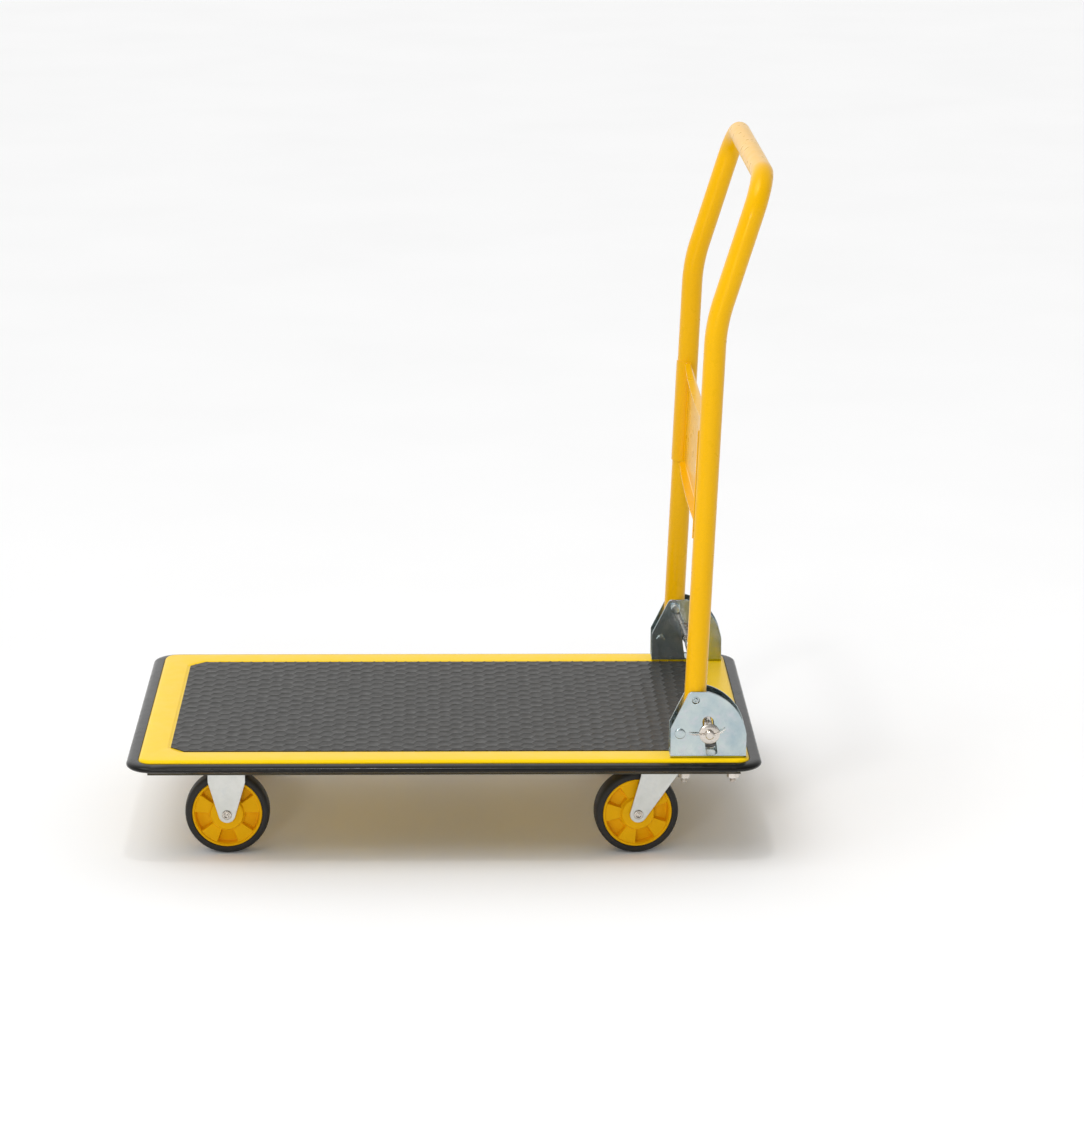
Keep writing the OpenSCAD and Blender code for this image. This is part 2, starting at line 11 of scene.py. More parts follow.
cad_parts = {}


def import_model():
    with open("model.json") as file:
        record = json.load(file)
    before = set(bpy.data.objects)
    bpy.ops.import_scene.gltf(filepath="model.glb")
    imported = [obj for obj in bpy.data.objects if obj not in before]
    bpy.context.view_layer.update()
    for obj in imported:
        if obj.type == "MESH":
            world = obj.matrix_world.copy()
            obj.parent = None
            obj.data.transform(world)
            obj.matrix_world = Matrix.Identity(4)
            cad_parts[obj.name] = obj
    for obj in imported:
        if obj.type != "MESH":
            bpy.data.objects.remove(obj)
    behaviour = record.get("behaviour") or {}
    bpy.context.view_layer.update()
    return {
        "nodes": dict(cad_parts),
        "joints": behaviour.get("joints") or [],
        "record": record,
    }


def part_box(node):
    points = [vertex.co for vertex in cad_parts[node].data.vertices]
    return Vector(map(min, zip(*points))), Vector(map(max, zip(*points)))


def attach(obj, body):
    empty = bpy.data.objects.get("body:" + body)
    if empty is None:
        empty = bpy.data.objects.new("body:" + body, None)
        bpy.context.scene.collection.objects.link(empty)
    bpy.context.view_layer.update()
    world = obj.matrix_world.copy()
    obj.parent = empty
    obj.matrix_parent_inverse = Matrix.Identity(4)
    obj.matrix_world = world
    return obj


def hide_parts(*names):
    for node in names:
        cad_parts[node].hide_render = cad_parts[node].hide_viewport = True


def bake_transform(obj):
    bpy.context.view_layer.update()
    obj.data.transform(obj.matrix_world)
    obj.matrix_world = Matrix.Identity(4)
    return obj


MM = 0.001
TAU = 2 * math.pi
TURN_UP = Matrix.Rotation(math.pi / 2, 4, "X")  # turns Y to Z, and Z to -Y
TURN_OUT = Matrix.Rotation(-math.pi / 2, 4, "X")  # turns Z to Y
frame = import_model()
joints = {j["name"]: j for j in frame["joints"]}

# ---------------------------------------------------------------- camera


def set_camera():
    cam = bpy.data.cameras.new("camera")
    cam.sensor_width = 36
    cam.lens = 117.73
    obj = bpy.data.objects.new("camera", cam)
    yaw, pitch, roll = math.radians(-1.471), math.radians(14.584), math.radians(0.304)
    level = Matrix.Rotation(yaw, 4, "Z") @ Matrix.Rotation(math.pi / 2 - pitch, 4, "X")
    obj.matrix_world = Matrix.Translation((0.0072, -4.3045, 1.4328)) @ level @ Matrix.Rotation(roll, 4, "Z")
    bpy.context.scene.collection.objects.link(obj)
    bpy.context.scene.camera = obj


set_camera()

# ---------------------------------------------------------------- materials


class Shader:
    """A node material with a principled shader, built up one texture at a time."""

    def __init__(self, name, **sockets):
        self.mat = bpy.data.materials.new(name)
        self.mat.use_nodes = True
        self.tree = self.mat.node_tree
        self.bsdf = self.tree.nodes["Principled BSDF"]
        self.coord = self.tree.nodes.new("ShaderNodeTexCoord")
        for key, value in sockets.items():
            self.bsdf.inputs[key.replace("_", " ")].default_value = value

    def node(self, kind, **values):
        n = self.tree.nodes.new("ShaderNode" + kind)
        for key, value in values.items():
            if hasattr(n, key):
                setattr(n, key, value)
            else:
                n.inputs[key.replace("_", " ")].default_value = value
        return n

    def link(self, a, b):
        self.tree.links.new(a, b)

    def scaled(self, stretch):
        m = self.node("Mapping")
        m.inputs["Scale"].default_value = stretch
        self.link(self.coord.outputs["Object"], m.inputs["Vector"])
        return m.outputs[0]

    def noise(self, scale, detail=3.0, rough=0.5, stretch=(1, 1, 1)):
        n = self.node("TexNoise", Scale=scale, Detail=detail, Roughness=rough)
        self.link(self.scaled(stretch), n.inputs["Vector"])
        return n.outputs["Fac"]

    def ramp(self, fac, stops):
        n = self.node("ValToRGB")
        ramp = n.color_ramp
        while len(ramp.elements) < len(stops):
            ramp.elements.new(0.5)
        for e, (pos, col) in zip(ramp.elements, stops):
            e.position = pos
            e.color = (*col, 1) if len(col) == 3 else col
        self.link(fac, n.inputs["Fac"])
        return n.outputs["Color"]

    def span(self, fac, low, high, out_low, out_high):
        n = self.node("MapRange")
        for i, v in enumerate((low, high, out_low, out_high)):
            n.inputs[i + 1].default_value = v
        self.link(fac, n.inputs[0])
        return n.outputs[0]

    def mix(self, fac, a, b, kind="MIX"):
        n = self.node("Mix", data_type="RGBA", blend_type=kind)
        for sock, value in ((n.inputs["Factor"], fac), (n.inputs[6], a), (n.inputs[7], b)):
            if isinstance(value, (int, float)):
                sock.default_value = value
            elif isinstance(value, tuple):
                sock.default_value = (*value, 1)
            else:
                self.link(value, sock)
        return n.outputs[2]

    def color(self, out):
        self.link(out, self.bsdf.inputs["Base Color"])

    def rough(self, out):
        self.link(out, self.bsdf.inputs["Roughness"])

    def bump(self, out, distance, strength=1.0):
        n = self.node("Bump", Strength=strength, Distance=distance)
        self.link(out, n.inputs["Height"])
        last = self.bsdf.inputs["Normal"].links
        if last:
            self.link(last[0].from_socket, n.inputs["Normal"])
        self.link(n.outputs[0], self.bsdf.inputs["Normal"])


# a warm tint keeps glints on the yellow from going white
WARM_GLINT = (1, 0.7, 0.1, 1)


def paint(name, base, warm, rough, coat):
    """Sprayed enamel: a slow drift of tone, fine dust and a faint orange peel."""
    s = Shader(name, Coat_Weight=coat, Coat_Roughness=0.04, Specular_IOR_Level=0.3, Specular_Tint=WARM_GLINT)
    drift = s.ramp(s.noise(5.0, 4.0), [(0.35, base), (0.7, warm)])
    speck = s.span(s.noise(900.0, 2.0), 0.35, 0.65, 0.95, 1.02)
    dust = s.node("CombineColor")
    for i in range(3):
        s.link(speck, dust.inputs[i])
    s.color(s.mix(1.0, drift, dust.outputs[0], "MULTIPLY"))
    s.rough(s.span(s.noise(60.0, 5.0), 0.3, 0.7, rough - 0.04, rough + 0.05))
    s.bump(s.noise(500.0, 1.0), 0.00001, 0.5)
    return s.mat


def metal(name, dark, light, rough, stain=None, grain=(1, 1, 1), metallic=1.0):
    """Plated steel: fine grain, cloudy passivation and light stains."""
    s = Shader(name, Metallic=metallic)
    cloud = s.ramp(s.noise(38.0, 6.0, 0.6), [(0.3, dark), (0.72, light)])
    if stain:
        spots = s.span(s.noise(95.0, 4.0, 0.65), 0.52, 0.7, 0.0, 0.55)
        cloud = s.mix(spots, cloud, stain)
    s.color(cloud)
    s.rough(s.span(s.noise(210.0, 4.0, 0.6, grain), 0.3, 0.7, rough * 0.75, rough * 1.3))
    s.bump(s.noise(900.0, 2.0, 0.5, grain), 0.000006, 0.4)
    return s.mat


def rubber(name, dark, light, rough, gloss, pebble, depth):
    s = Shader(name, Specular_IOR_Level=gloss)
    s.color(s.ramp(s.noise(30.0, 5.0, 0.6), [(0.3, dark), (0.75, light)]))
    s.rough(s.span(s.noise(120.0, 4.0), 0.3, 0.7, rough - 0.07, rough + 0.08))
    s.bump(s.noise(pebble, 3.0), depth, 0.6)
    return s.mat


def plastic(name, base, warm, rough):
    s = Shader(name, Specular_IOR_Level=0.3, Specular_Tint=WARM_GLINT, Coat_Weight=0.05, Coat_Roughness=0.25)
    s.color(s.ramp(s.noise(26.0, 4.0), [(0.3, base), (0.75, warm)]))
    s.rough(s.span(s.noise(160.0, 4.0), 0.3, 0.7, rough - 0.05, rough + 0.08))
    s.bump(s.noise(850.0, 2.0), 0.00004, 0.5)
    return s.mat


M = {
    "deck_paint": paint("deck_paint", (0.94, 0.615, 0.003), (0.95, 0.63, 0.004), 0.34, 0.04),
    "handle_paint": paint("handle_paint", (0.84, 0.445, 0.001), (0.855, 0.465, 0.0015), 0.3, 0.2),
    "frame_steel": paint("frame_steel", (0.04, 0.04, 0.04), (0.05, 0.05, 0.048), 0.5, 0.0),
    "bumper_rubber": rubber("bumper_rubber", (0.003, 0.0028, 0.002), (0.0045, 0.004, 0.003),
                            0.2, 0.26, 600.0, 0.00001),
    "mat_rubber": rubber("mat_rubber", (0.020, 0.0195, 0.017), (0.030, 0.029, 0.026),
                         0.46, 0.4, 1100.0, 0.00003),
    "zinc": metal("zinc", (0.36, 0.45, 0.49), (0.55, 0.61, 0.59), 0.2, (0.57, 0.55, 0.60)),
    "caster_zinc": metal("caster_zinc", (0.62, 0.63, 0.59), (0.69, 0.69, 0.66), 0.4, (0.57, 0.59, 0.59)),
    "bolt_steel": metal("bolt_steel", (0.56, 0.52, 0.46), (0.72, 0.67, 0.62), 0.25, (0.68, 0.56, 0.48)),
    "spring_steel": metal("spring_steel", (0.42, 0.43, 0.42), (0.6, 0.6, 0.58), 0.28),
    "rim_plastic": plastic("rim_plastic", (0.86, 0.43, 0.002), (0.87, 0.46, 0.004), 0.38),
    "tyre_rubber": rubber("tyre_rubber", (0.016, 0.0145, 0.012), (0.026, 0.0235, 0.02),
                           0.6, 0.35, 500.0, 0.00005),
}

# ---------------------------------------------------------------- mesh helpers


def finish_mesh(me, angle=38):
    me.update()
    for p in me.polygons:
        p.use_smooth = True
    me.set_sharp_from_angle(angle=math.radians(angle))


def make(name, verts, faces, angle=38):
    """An object from points in millimetres."""
    me = bpy.data.meshes.new(name)
    me.from_pydata([tuple(c * MM for c in v) for v in verts], [], faces)
    bm = bmesh.new()
    bm.from_mesh(me)
    bmesh.ops.recalc_face_normals(bm, faces=bm.faces)
    bm.to_mesh(me)
    bm.free()
    finish_mesh(me, angle)
    obj = bpy.data.objects.new(name, me)
    bpy.context.scene.collection.objects.link(obj)
    return obj


def piece(obj, body, slot, *nodes):
    """Gives a made object the material of its slot and its body, and hides the CAD nodes it stands for."""
    obj.data.materials.clear()
    obj.data.materials.append(M[slot])
    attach(obj, body)
    if nodes:
        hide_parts(*nodes)
    return obj


def bake(obj, angle=38):
    """Applies the object's modifiers."""
    bpy.context.view_layer.update()
    deps = bpy.context.evaluated_depsgraph_get()
    me = bpy.data.meshes.new_from_object(obj.evaluated_get(deps))
    obj.modifiers.clear()
    old, obj.data = obj.data, me
    bpy.data.meshes.remove(old)
    finish_mesh(obj.data, angle)
    return obj


def cut(obj, tool, kind="DIFFERENCE"):
    m = obj.modifiers.new("cut", "BOOLEAN")
    m.operation = kind
    m.solver = "EXACT"
    m.object = tool
    bake(obj)
    bpy.data.objects.remove(tool)
    return obj


def bevel(obj, width, segments=2, angle=38):
    m = obj.modifiers.new("bevel", "BEVEL")
    m.width = width * MM
    m.segments = segments
    m.limit_method = "ANGLE"
    m.angle_limit = math.radians(angle)
    m.use_clamp_overlap = True
    m.miter_outer = "MITER_ARC"
    bake(obj, 50)
    m = obj.modifiers.new("weighted", "WEIGHTED_NORMAL")
    m.weight = 100
    m.keep_sharp = True
    return bake(obj, 50)


def join(name, parts):
    """One object from several, keeping each one's mesh."""
    bm = bmesh.new()
    for o in parts:
        o.data.transform(o.matrix_world)
        bm.from_mesh(o.data)
    me = bpy.data.meshes.new(name)
    bm.to_mesh(me)
    bm.free()
    for o in parts:
        bpy.data.objects.remove(o)
    finish_mesh(me)
    obj = bpy.data.objects.new(name, me)
    bpy.context.scene.collection.objects.link(obj)
    return obj


def place(obj, matrix):
    obj.data.transform(matrix)
    return obj


def shift(x=0, y=0, z=0):
    return Matrix.Translation((x * MM, y * MM, z * MM))


def bridge(loops, cap_first=False, cap_last=False, around=False):
    """Faces between closed loops with the same number of points."""
    n, k = len(loops[0]), len(loops)
    verts = [p for loop in loops for p in loop]
    faces = []
    for i in range(k if around else k - 1):
        a, b = i * n, ((i + 1) % k) * n
        for j in range(n):
            m = (j + 1) % n
            faces.append((a + j, a + m, b + m, b + j))
    if cap_first:
        faces.append(tuple(range(n)))
    if cap_last:
        faces.append(tuple((k - 1) * n + j for j in range(n)))
    return verts, faces


def lathe(name, profile, segments=64, angle=38, closed=False):
    """Turns (radius, along) points about the Y axis. Points on the axis close it."""
    loops = []
    for r, y in profile:
        loops.append([(max(r, 1e-4) * math.cos(a), y, max(r, 1e-4) * math.sin(a))
                      for a in np.linspace(0, TAU, segments, endpoint=False)])
    verts, faces = bridge(loops, not closed, not closed, closed)
    obj = make(name, verts, faces, angle)
    bm = bmesh.new()
    bm.from_mesh(obj.data)
    bmesh.ops.remove_doubles(bm, verts=bm.verts, dist=1e-6)
    bmesh.ops.recalc_face_normals(bm, faces=bm.faces)
    bm.to_mesh(obj.data)
    bm.free()
    finish_mesh(obj.data, angle)
    return obj


def round_corner(profile, radius, steps=4):
    """Rounds each inner corner of an open profile."""
    out = [profile[0]]
    for a, b, c in zip(profile, profile[1:], profile[2:]):
        a, b, c = (np.array(p, float) for p in (a, b, c))
        la, lc = np.linalg.norm(a - b), np.linalg.norm(c - b)
        d = min(radius, la * 0.45, lc * 0.45)
        p, q = b + (a - b) / la * d, b + (c - b) / lc * d
        for t in np.linspace(0, 1, steps):
            out.append(tuple((1 - t) ** 2 * p + 2 * t * (1 - t) * b + t * t * q))
    out.append(profile[-1])
    return out


def prism_y(name, outline, y0, y1):
    """A solid from an XZ outline between two Y values."""
    n = len(outline)
    verts = [(x, y0, z) for x, z in outline] + [(x, y1, z) for x, z in outline]
    faces = [tuple(range(n)), tuple(range(n, 2 * n))]
    faces += [(i, (i + 1) % n, n + (i + 1) % n, n + i) for i in range(n)]
    return make(name, verts, faces)


def prism_z(name, outline, z0, z1):
    n = len(outline)
    verts = [(x, y, z0) for x, y in outline] + [(x, y, z1) for x, y in outline]
    faces = [tuple(range(n)), tuple(range(n, 2 * n))]
    faces += [(i, (i + 1) % n, n + (i + 1) % n, n + i) for i in range(n)]
    return make(name, verts, faces)


def circle(r, n=40, cx=0.0, cz=0.0):
    return [(cx + r * math.cos(a), cz + r * math.sin(a)) for a in np.linspace(0, TAU, n, endpoint=False)]


def arc(cx, cz, r, a0, a1, n):
    return [(cx + r * math.cos(math.radians(a)), cz + r * math.sin(math.radians(a)))
            for a in np.linspace(a0, a1, n)]


def rounded_loop(hx, hy, r, z, n=12):
    """Points round a rectangle with round corners, n to a corner."""
    out = []
    for sx, sy, a in ((1, 1, 0), (-1, 1, 90), (-1, -1, 180), (1, -1, 270)):
        for t in np.linspace(a, a + 90, n):
            out.append((sx * (hx - r) + r * math.cos(math.radians(t)),
                        sy * (hy - r) + r * math.sin(math.radians(t)), z))
    return out


def chamfer_loop(hx, hy, c, r, z, n=12):
    """Points round a rectangle with cut corners, the cuts' ends softened by r, n to a corner."""
    out = []
    half = n // 2
    for sx, sy in ((1, 1), (-1, 1), (-1, -1), (1, -1)):
        ends = [(Vector((sx * hx, sy * (hy - c))), Vector((0, -sy))),
                (Vector((sx * (hx - c), sy * hy)), Vector((-sx, 0)))]
        diag = (ends[1][0] - ends[0][0]).normalized()
        corner = []
        for (v, away), along in zip(ends, (diag, -diag)):
            p, q = v + away * r, v + along * r
            pts = [(1 - t) ** 2 * p + 2 * t * (1 - t) * v + t * t * q
                   for t in np.linspace(0, 1, half).tolist()]
            corner += pts if along is diag else pts[::-1]
        if sx * sy < 0:
            corner = corner[::-1]
        out += [(p.x, p.y, z) for p in corner]
    return out


def tube(name, points, radius, segments):
    """A round wire along points, with turning frames carried along and its ends closed."""
    pts = [Vector(p) for p in points]
    loops, side = [], None
    for i, p in enumerate(pts):
        t = (pts[min(i + 1, len(pts) - 1)] - pts[max(i - 1, 0)]).normalized()
        if side is None:
            guide = Vector((0, 0, 1)) if abs(t.z) < 0.9 else Vector((1, 0, 0))
            side = t.cross(guide).normalized()
        side = (side - t * side.dot(t)).normalized()
        other = t.cross(side)
        loops.append([tuple(p + (side * math.cos(u) + other * math.sin(u)) * radius)
                      for u in np.linspace(0, TAU, segments, endpoint=False)])
    verts, faces = bridge(loops, True, True)
    return make(name, verts, faces, 50)


def hex_outline(flats):
    r = flats / math.sqrt(3)
    return [(r * math.cos(math.radians(60 * i)), r * math.sin(math.radians(60 * i))) for i in range(6)]


def chamfered_hex(name, flats, height, both=False, bore=0.0):
    """A hex head or nut standing on z = 0: its corners are turned off by a cone."""
    body = prism_z(name, hex_outline(flats), 0, height)
    r = flats / math.sqrt(3)
    flat = flats / 2 * 0.97
    drop = (r - flat) * 0.55
    prof = [(0, height), (flat, height), (r + 0.5, height - drop - 0.3)]
    prof += [(r + 0.5, drop + 0.3), (flat, 0), (0, 0)] if both else [(r + 0.5, 0), (0, 0)]
    cone = lathe("cone", prof, 48)
    place(cone, TURN_UP)
    cut(body, cone, "INTERSECT")
    if bore:
        cut(body, prism_z("bore", circle(bore, 32), -1, height + 1))
    return bevel(body, 0.22, 2, 30)


def thread(name, r, length, pitch=1.25, turns_step=28):
    """A threaded shank tip up from z = 0: a ridge wound round a core."""
    n = int(length / pitch * turns_step)
    ring = []
    for i in range(n):
        a = 2 * math.pi * i / turns_step
        ring.append((math.cos(a), math.sin(a), pitch * i / turns_step))
    verts, faces = [], []
    for i, (c, s, z) in enumerate(ring):
        fade = min(1.0, (n - i) / turns_step, (i + 1) / turns_step)
        for dr, dz in ((-0.65, -pitch * 0.42), (-0.05 - 0.6 * (1 - fade), 0), (-0.65, pitch * 0.42)):
            verts.append((c * (r + dr), s * (r + dr), z + dz))
    for i in range(n - 1):
        for k in range(3):
            m = (k + 1) % 3
            faces.append((3 * i + k, 3 * i + m, 3 * i + 3 + m, 3 * i + 3 + k))
    faces += [(0, 1, 2), (3 * n - 3, 3 * n - 2, 3 * n - 1)]
    wound = make(name, verts, faces)
    prof = [(0, -1), (r - 0.6, -1), (r - 0.6, length + 0.2), (r - 1.3, length + 0.8), (0, length + 0.8)]
    core = place(lathe("core", prof, 28), TURN_UP)
    return join(name, [wound, core])


def cad(node, width=0.3):
    """A carried-over CAD node: its sharp edges are softened and it gets its own material."""
    o = frame["nodes"][node]
    slot = next(s["material_slot"] for s in frame["record"]["subparts"] if s["node"] == node)
    o.data.materials.clear()
    o.data.materials.append(M[slot])
    weld = o.modifiers.new("weld", "WELD")
    weld.merge_threshold = 1e-6
    m = o.modifiers.new("bevel", "BEVEL")
    m.width = width * MM
    m.segments = 2
    m.limit_method = "ANGLE"
    m.angle_limit = math.radians(40)
    m.harden_normals = False
    return o


# ---------------------------------------------------------------- sizes from the frame


def mm_box(node):
    lo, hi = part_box(node)
    return lo / MM, hi / MM


PAN_LO, PAN_HI = mm_box("deck_pan")
MAT_LO, MAT_HI = mm_box("deck_mat")
BUMP_LO, BUMP_HI = mm_box("bumper")
DECK_TOP = PAN_HI.z
DECK_R = 16.8
RECESS = MAT_LO.z
MAT_CUT = 17.0
PIVOT = Vector(joints["handle_fold"]["pos_m"]) / MM
LEG_Y = 204.0
LEAN = math.radians(2.25)  # of the legs, towards +X
BOLT_Y = 205.0
M8_FLATS = 13  # across the flats of the M8 heads and nuts
M8_BORE = 4.05
HEAD_H = 5.3

# ---------------------------------------------------------------- deck


def deck_pan():
    """The pressed sheet: a rounded rim, then a cut-cornered recess for the mat."""
    hx, hy = PAN_HI.x, PAN_HI.y
    t, edge = 1.5, 4.5
    mx, my = MAT_HI.x, MAT_HI.y
    low = PAN_LO.z
    loops = [rounded_loop(hx - t, hy - t, DECK_R - t, low), rounded_loop(hx, hy, DECK_R, low + 0.3)]
    for a in np.linspace(0, 90, 9):
        d = edge * (1 - math.cos(math.radians(a)))
        z = DECK_TOP - edge + edge * math.sin(math.radians(a))
        loops.append(rounded_loop(hx - d, hy - d, DECK_R - d, z))
    lip = 4.6
    loops.append(chamfer_loop(mx + lip, my + lip, MAT_CUT, 3, DECK_TOP))
    for f in (0.2, 0.5, 0.8, 1.0):
        s = f * f * (3 - 2 * f)
        loops.append(chamfer_loop(mx + lip - 3.0 * f, my + lip - 3.0 * f, MAT_CUT, 3,
                                  DECK_TOP - (DECK_TOP - RECESS) * s))
    under = [rounded_loop(hx - t, hy - t, DECK_R - t, DECK_TOP - edge),
             rounded_loop(hx - t - 1.2, hy - t - 1.2, DECK_R - t - 1.2, DECK_TOP - t),
             chamfer_loop(mx + lip, my + lip, MAT_CUT, 3, DECK_TOP - t),
             chamfer_loop(mx + 2, my + 2, MAT_CUT, 3, RECESS - t)]
    verts, faces = bridge(under[::-1] + loops, True, True)
    obj = make("deck_pan_pressed", verts, faces, 50)
    piece(obj, "deck", "deck_paint", "deck_pan")


def deck_mat():
    """A rubber mat with raised honeycomb ribs that run off its cut edges."""
    px, py = 13.95, 20.0
    low, top, base = MAT_HI.z - 0.42, MAT_HI.z, MAT_LO.z + 0.05
    half = [(9.3, 0), (4.65, 10), (-4.65, 10), (-9.3, 0), (-4.65, -10), (4.65, -10)]
    rings = [(0.0, top), (0.5, top - 0.01), (0.8, top - 0.12), (1.25, low + 0.1), (1.6, low)]
    verts, faces, seen = [], [], {}

    def point(x, y, z):
        key = (round(x, 2), round(y, 2), round(z, 3))
        if key not in seen:
            seen[key] = len(verts)
            verts.append((x, y, z))
        return seen[key]

    for i in range(-25, 26):
        for j in range(-11, 12):
            cx, cy = px * i, py * j + (py / 2 if i % 2 else 0)
            loops = []
            for inset, z in rings:
                k = 1 - inset / 8.4
                loops.append([point(cx + x * k, cy + y * k, z) for x, y in half])
            for a, b in zip(loops, loops[1:]):
                for q in range(6):
                    faces.append((a[q], a[(q + 1) % 6], b[(q + 1) % 6], b[q]))
            faces.append(tuple(loops[-1]))
    me = bpy.data.meshes.new("deck_mat_honeycomb")
    me.from_pydata([tuple(c * MM for c in v) for v in verts], [], faces)
    bm = bmesh.new()
    bm.from_mesh(me)
    hx, hy = MAT_HI.x, MAT_HI.y
    planes = [((hx, 0), (1, 0)), ((-hx, 0), (-1, 0)), ((0, hy), (0, 1)), ((0, -hy), (0, -1))]
    planes += [((sx * hx, sy * (hy - MAT_CUT)), (sx, sy)) for sx in (1, -1) for sy in (1, -1)]
    for (x, y), (nx, ny) in planes:
        bmesh.ops.bisect_plane(bm, geom=bm.verts[:] + bm.edges[:] + bm.faces[:], plane_co=(x * MM, y * MM, 0),
                               plane_no=(nx, ny, 0), clear_outer=True, dist=1e-7)
    rim = [e for e in bm.edges if len(e.link_faces) == 1]
    walls = bmesh.ops.extrude_edge_only(bm, edges=rim)["geom"]
    lower = [g for g in walls if isinstance(g, bmesh.types.BMVert)]
    for v in lower:
        v.co.z = base * MM
    bmesh.ops.holes_fill(bm, edges=[e for e in bm.edges if len(e.link_faces) == 1], sides=0)
    bmesh.ops.recalc_face_normals(bm, faces=bm.faces)
    bm.to_mesh(me)
    bm.free()
    finish_mesh(me, 60)
    obj = bpy.data.objects.new("deck_mat_honeycomb", me)
    bpy.context.scene.collection.objects.link(obj)
    piece(obj, "deck", "mat_rubber", "deck_mat")


def bumper():
    """A D strip round the rim, its two ends butted on the near side by the handle."""
    z0, z1 = BUMP_LO.z, BUMP_HI.z
    w = BUMP_HI.x - PAN_HI.x
    ctrl = [((0.1, z1 - 1.2), (0.1, z1 - 0.1), (1.3, z1 - 0.05)),
            ((1.3, z1 - 0.05), (5.0, z1 + 0.05), (8.4, z1 - 0.4)),
            ((8.4, z1 - 0.4), (13.7, z1 - 1.1), (w, z1 - 4.4)),
            ((w, z1 - 4.4), (w - 0.1, z0 + 1.9), (8.6, z0 + 0.35)),
            ((8.6, z0 + 0.35), (5.0, z0), (1.0, z0)),
            ((1.0, z0), (0.1, z0), (0.1, z0 + 0.9))]
    section = []
    for p, q, r in ctrl:
        for t in np.linspace(0, 1, 8, endpoint=False):
            section.append(((1 - t) ** 2 * p[0] + 2 * t * (1 - t) * q[0] + t * t * r[0],
                            (1 - t) ** 2 * p[1] + 2 * t * (1 - t) * q[1] + t * t * r[1]))
    hx, hy, r = PAN_HI.x, PAN_HI.y, DECK_R
    seam = hx - r - 0.2
    path = [(x, -hy, 0, -1) for x in np.linspace(seam - 0.25, -(hx - r), 30)]
    for sx, sy, a in ((-1, -1, 270), (-1, 1, 180), (1, 1, 90), (1, -1, 0)):
        for t in np.linspace(a, a - 90, 14):
            c, s = math.cos(math.radians(t)), math.sin(math.radians(t))
            path.append((sx * (hx - r) + r * c, sy * (hy - r) + r * s, c, s))
    path[-1] = (seam, -hy, 0, -1)
    n, k = len(path), len(section)
    verts, faces = [], []
    for i, (x, y, nx, ny) in enumerate(path):
        lift = -0.5 * max(0.0, 1 - i / 2.0)
        verts += [(x + nx * u, y + ny * u, z + (lift if u > 3 else 0)) for u, z in section]
    for i in range(n - 1):
        for j in range(k):
            m = (j + 1) % k
            faces.append((i * k + j, i * k + m, i * k + k + m, i * k + k + j))
    faces += [tuple(range(k)), tuple((n - 1) * k + j for j in range(k))]
    piece(make("bumper_strip", verts, faces, 45), "deck", "bumper_rubber", "bumper")


# ---------------------------------------------------------------- hinge brackets


def bracket(node):
    """A U of sheet with a rounded back, the rod's slot and the holes for both pins."""
    lo, hi = mm_box(node)
    t, out = 2.5, (hi.y - lo.y) / 2
    mid = (hi.y + lo.y) / 2
    x0, length, height = lo.x, hi.x - lo.x, hi.z - lo.z
    z0 = lo.z
    outer = [(-out, height)] + arc(-out + 3, 3, 3, 180, 270, 7)
    outer += arc(out - 3, 3, 3, 270, 360, 7) + [(out, height)]
    inner = [(out - t, height)] + arc(out - 3, 3, 0.5, 360, 270, 4)
    inner += arc(-out + 3, 3, 0.5, 270, 180, 4) + [(-out + t, height)]
    section = outer + inner
    n = len(section)
    verts = [(x, mid + y, z0 + z) for x in (x0 - 1, x0 + length + 1) for y, z in section]
    faces = [tuple(range(n)), tuple(range(n, 2 * n))]
    faces += [(i, (i + 1) % n, n + (i + 1) % n, n + i) for i in range(n)]
    body = make(f"{node}_sheet", verts, faces)
    a_top = math.degrees(math.atan2(height - 20.25, 43 - 26.7))
    a_low = math.degrees(math.atan2(29 - 20.25, length - 26.7))
    outline = [(0, -1), (0, 35)] + arc(4.4, 35, 4.4, 180, 154, 4)
    outline += [(20.4, height - 2.5)] + arc(24.2, height - 3.4, 3.4, 150, 90, 5)
    outline += arc(26.7, 20.25, 62.4, a_top, a_low, 26) + [(length, 20), (length, -1)]
    keep = prism_y("keep", [(x0 + x, z0 + z) for x, z in outline], mid - out - 1, mid + out + 1)
    cut(body, keep, "INTERSECT")
    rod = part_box("release_rod")
    rx, rz = (rod[0].x + rod[1].x) / 2 / MM, (rod[0].z + rod[1].z) / 2 / MM
    w, tilt = 6.5, math.radians(7.3)
    slot = arc(-w + 3, -23.6, 3, 180, 270, 5) + arc(w - 3, -23.6, 3, 270, 360, 5)
    slot += arc(0, 14.2, w, 0, 180, 14)
    slot = [(rx + x * math.cos(tilt) - z * math.sin(tilt), rz + x * math.sin(tilt) + z * math.cos(tilt))
            for x, z in slot]
    cut(body, prism_y("slot", slot, mid - out - 2, mid + out + 2))
    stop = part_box("stop_pins")
    sx = (stop[0].x + stop[1].x) / 2 / MM
    for cx, cz, r in ((PIVOT.x, PIVOT.z, 4.3), (sx, rz, 3.05)):
        cut(body, prism_y("hole", circle(r, 32, cx, cz), mid - out - 2, mid + out + 2))
    bevel(body, 0.4, 2, 32)
    piece(body, "deck", "zinc", node)


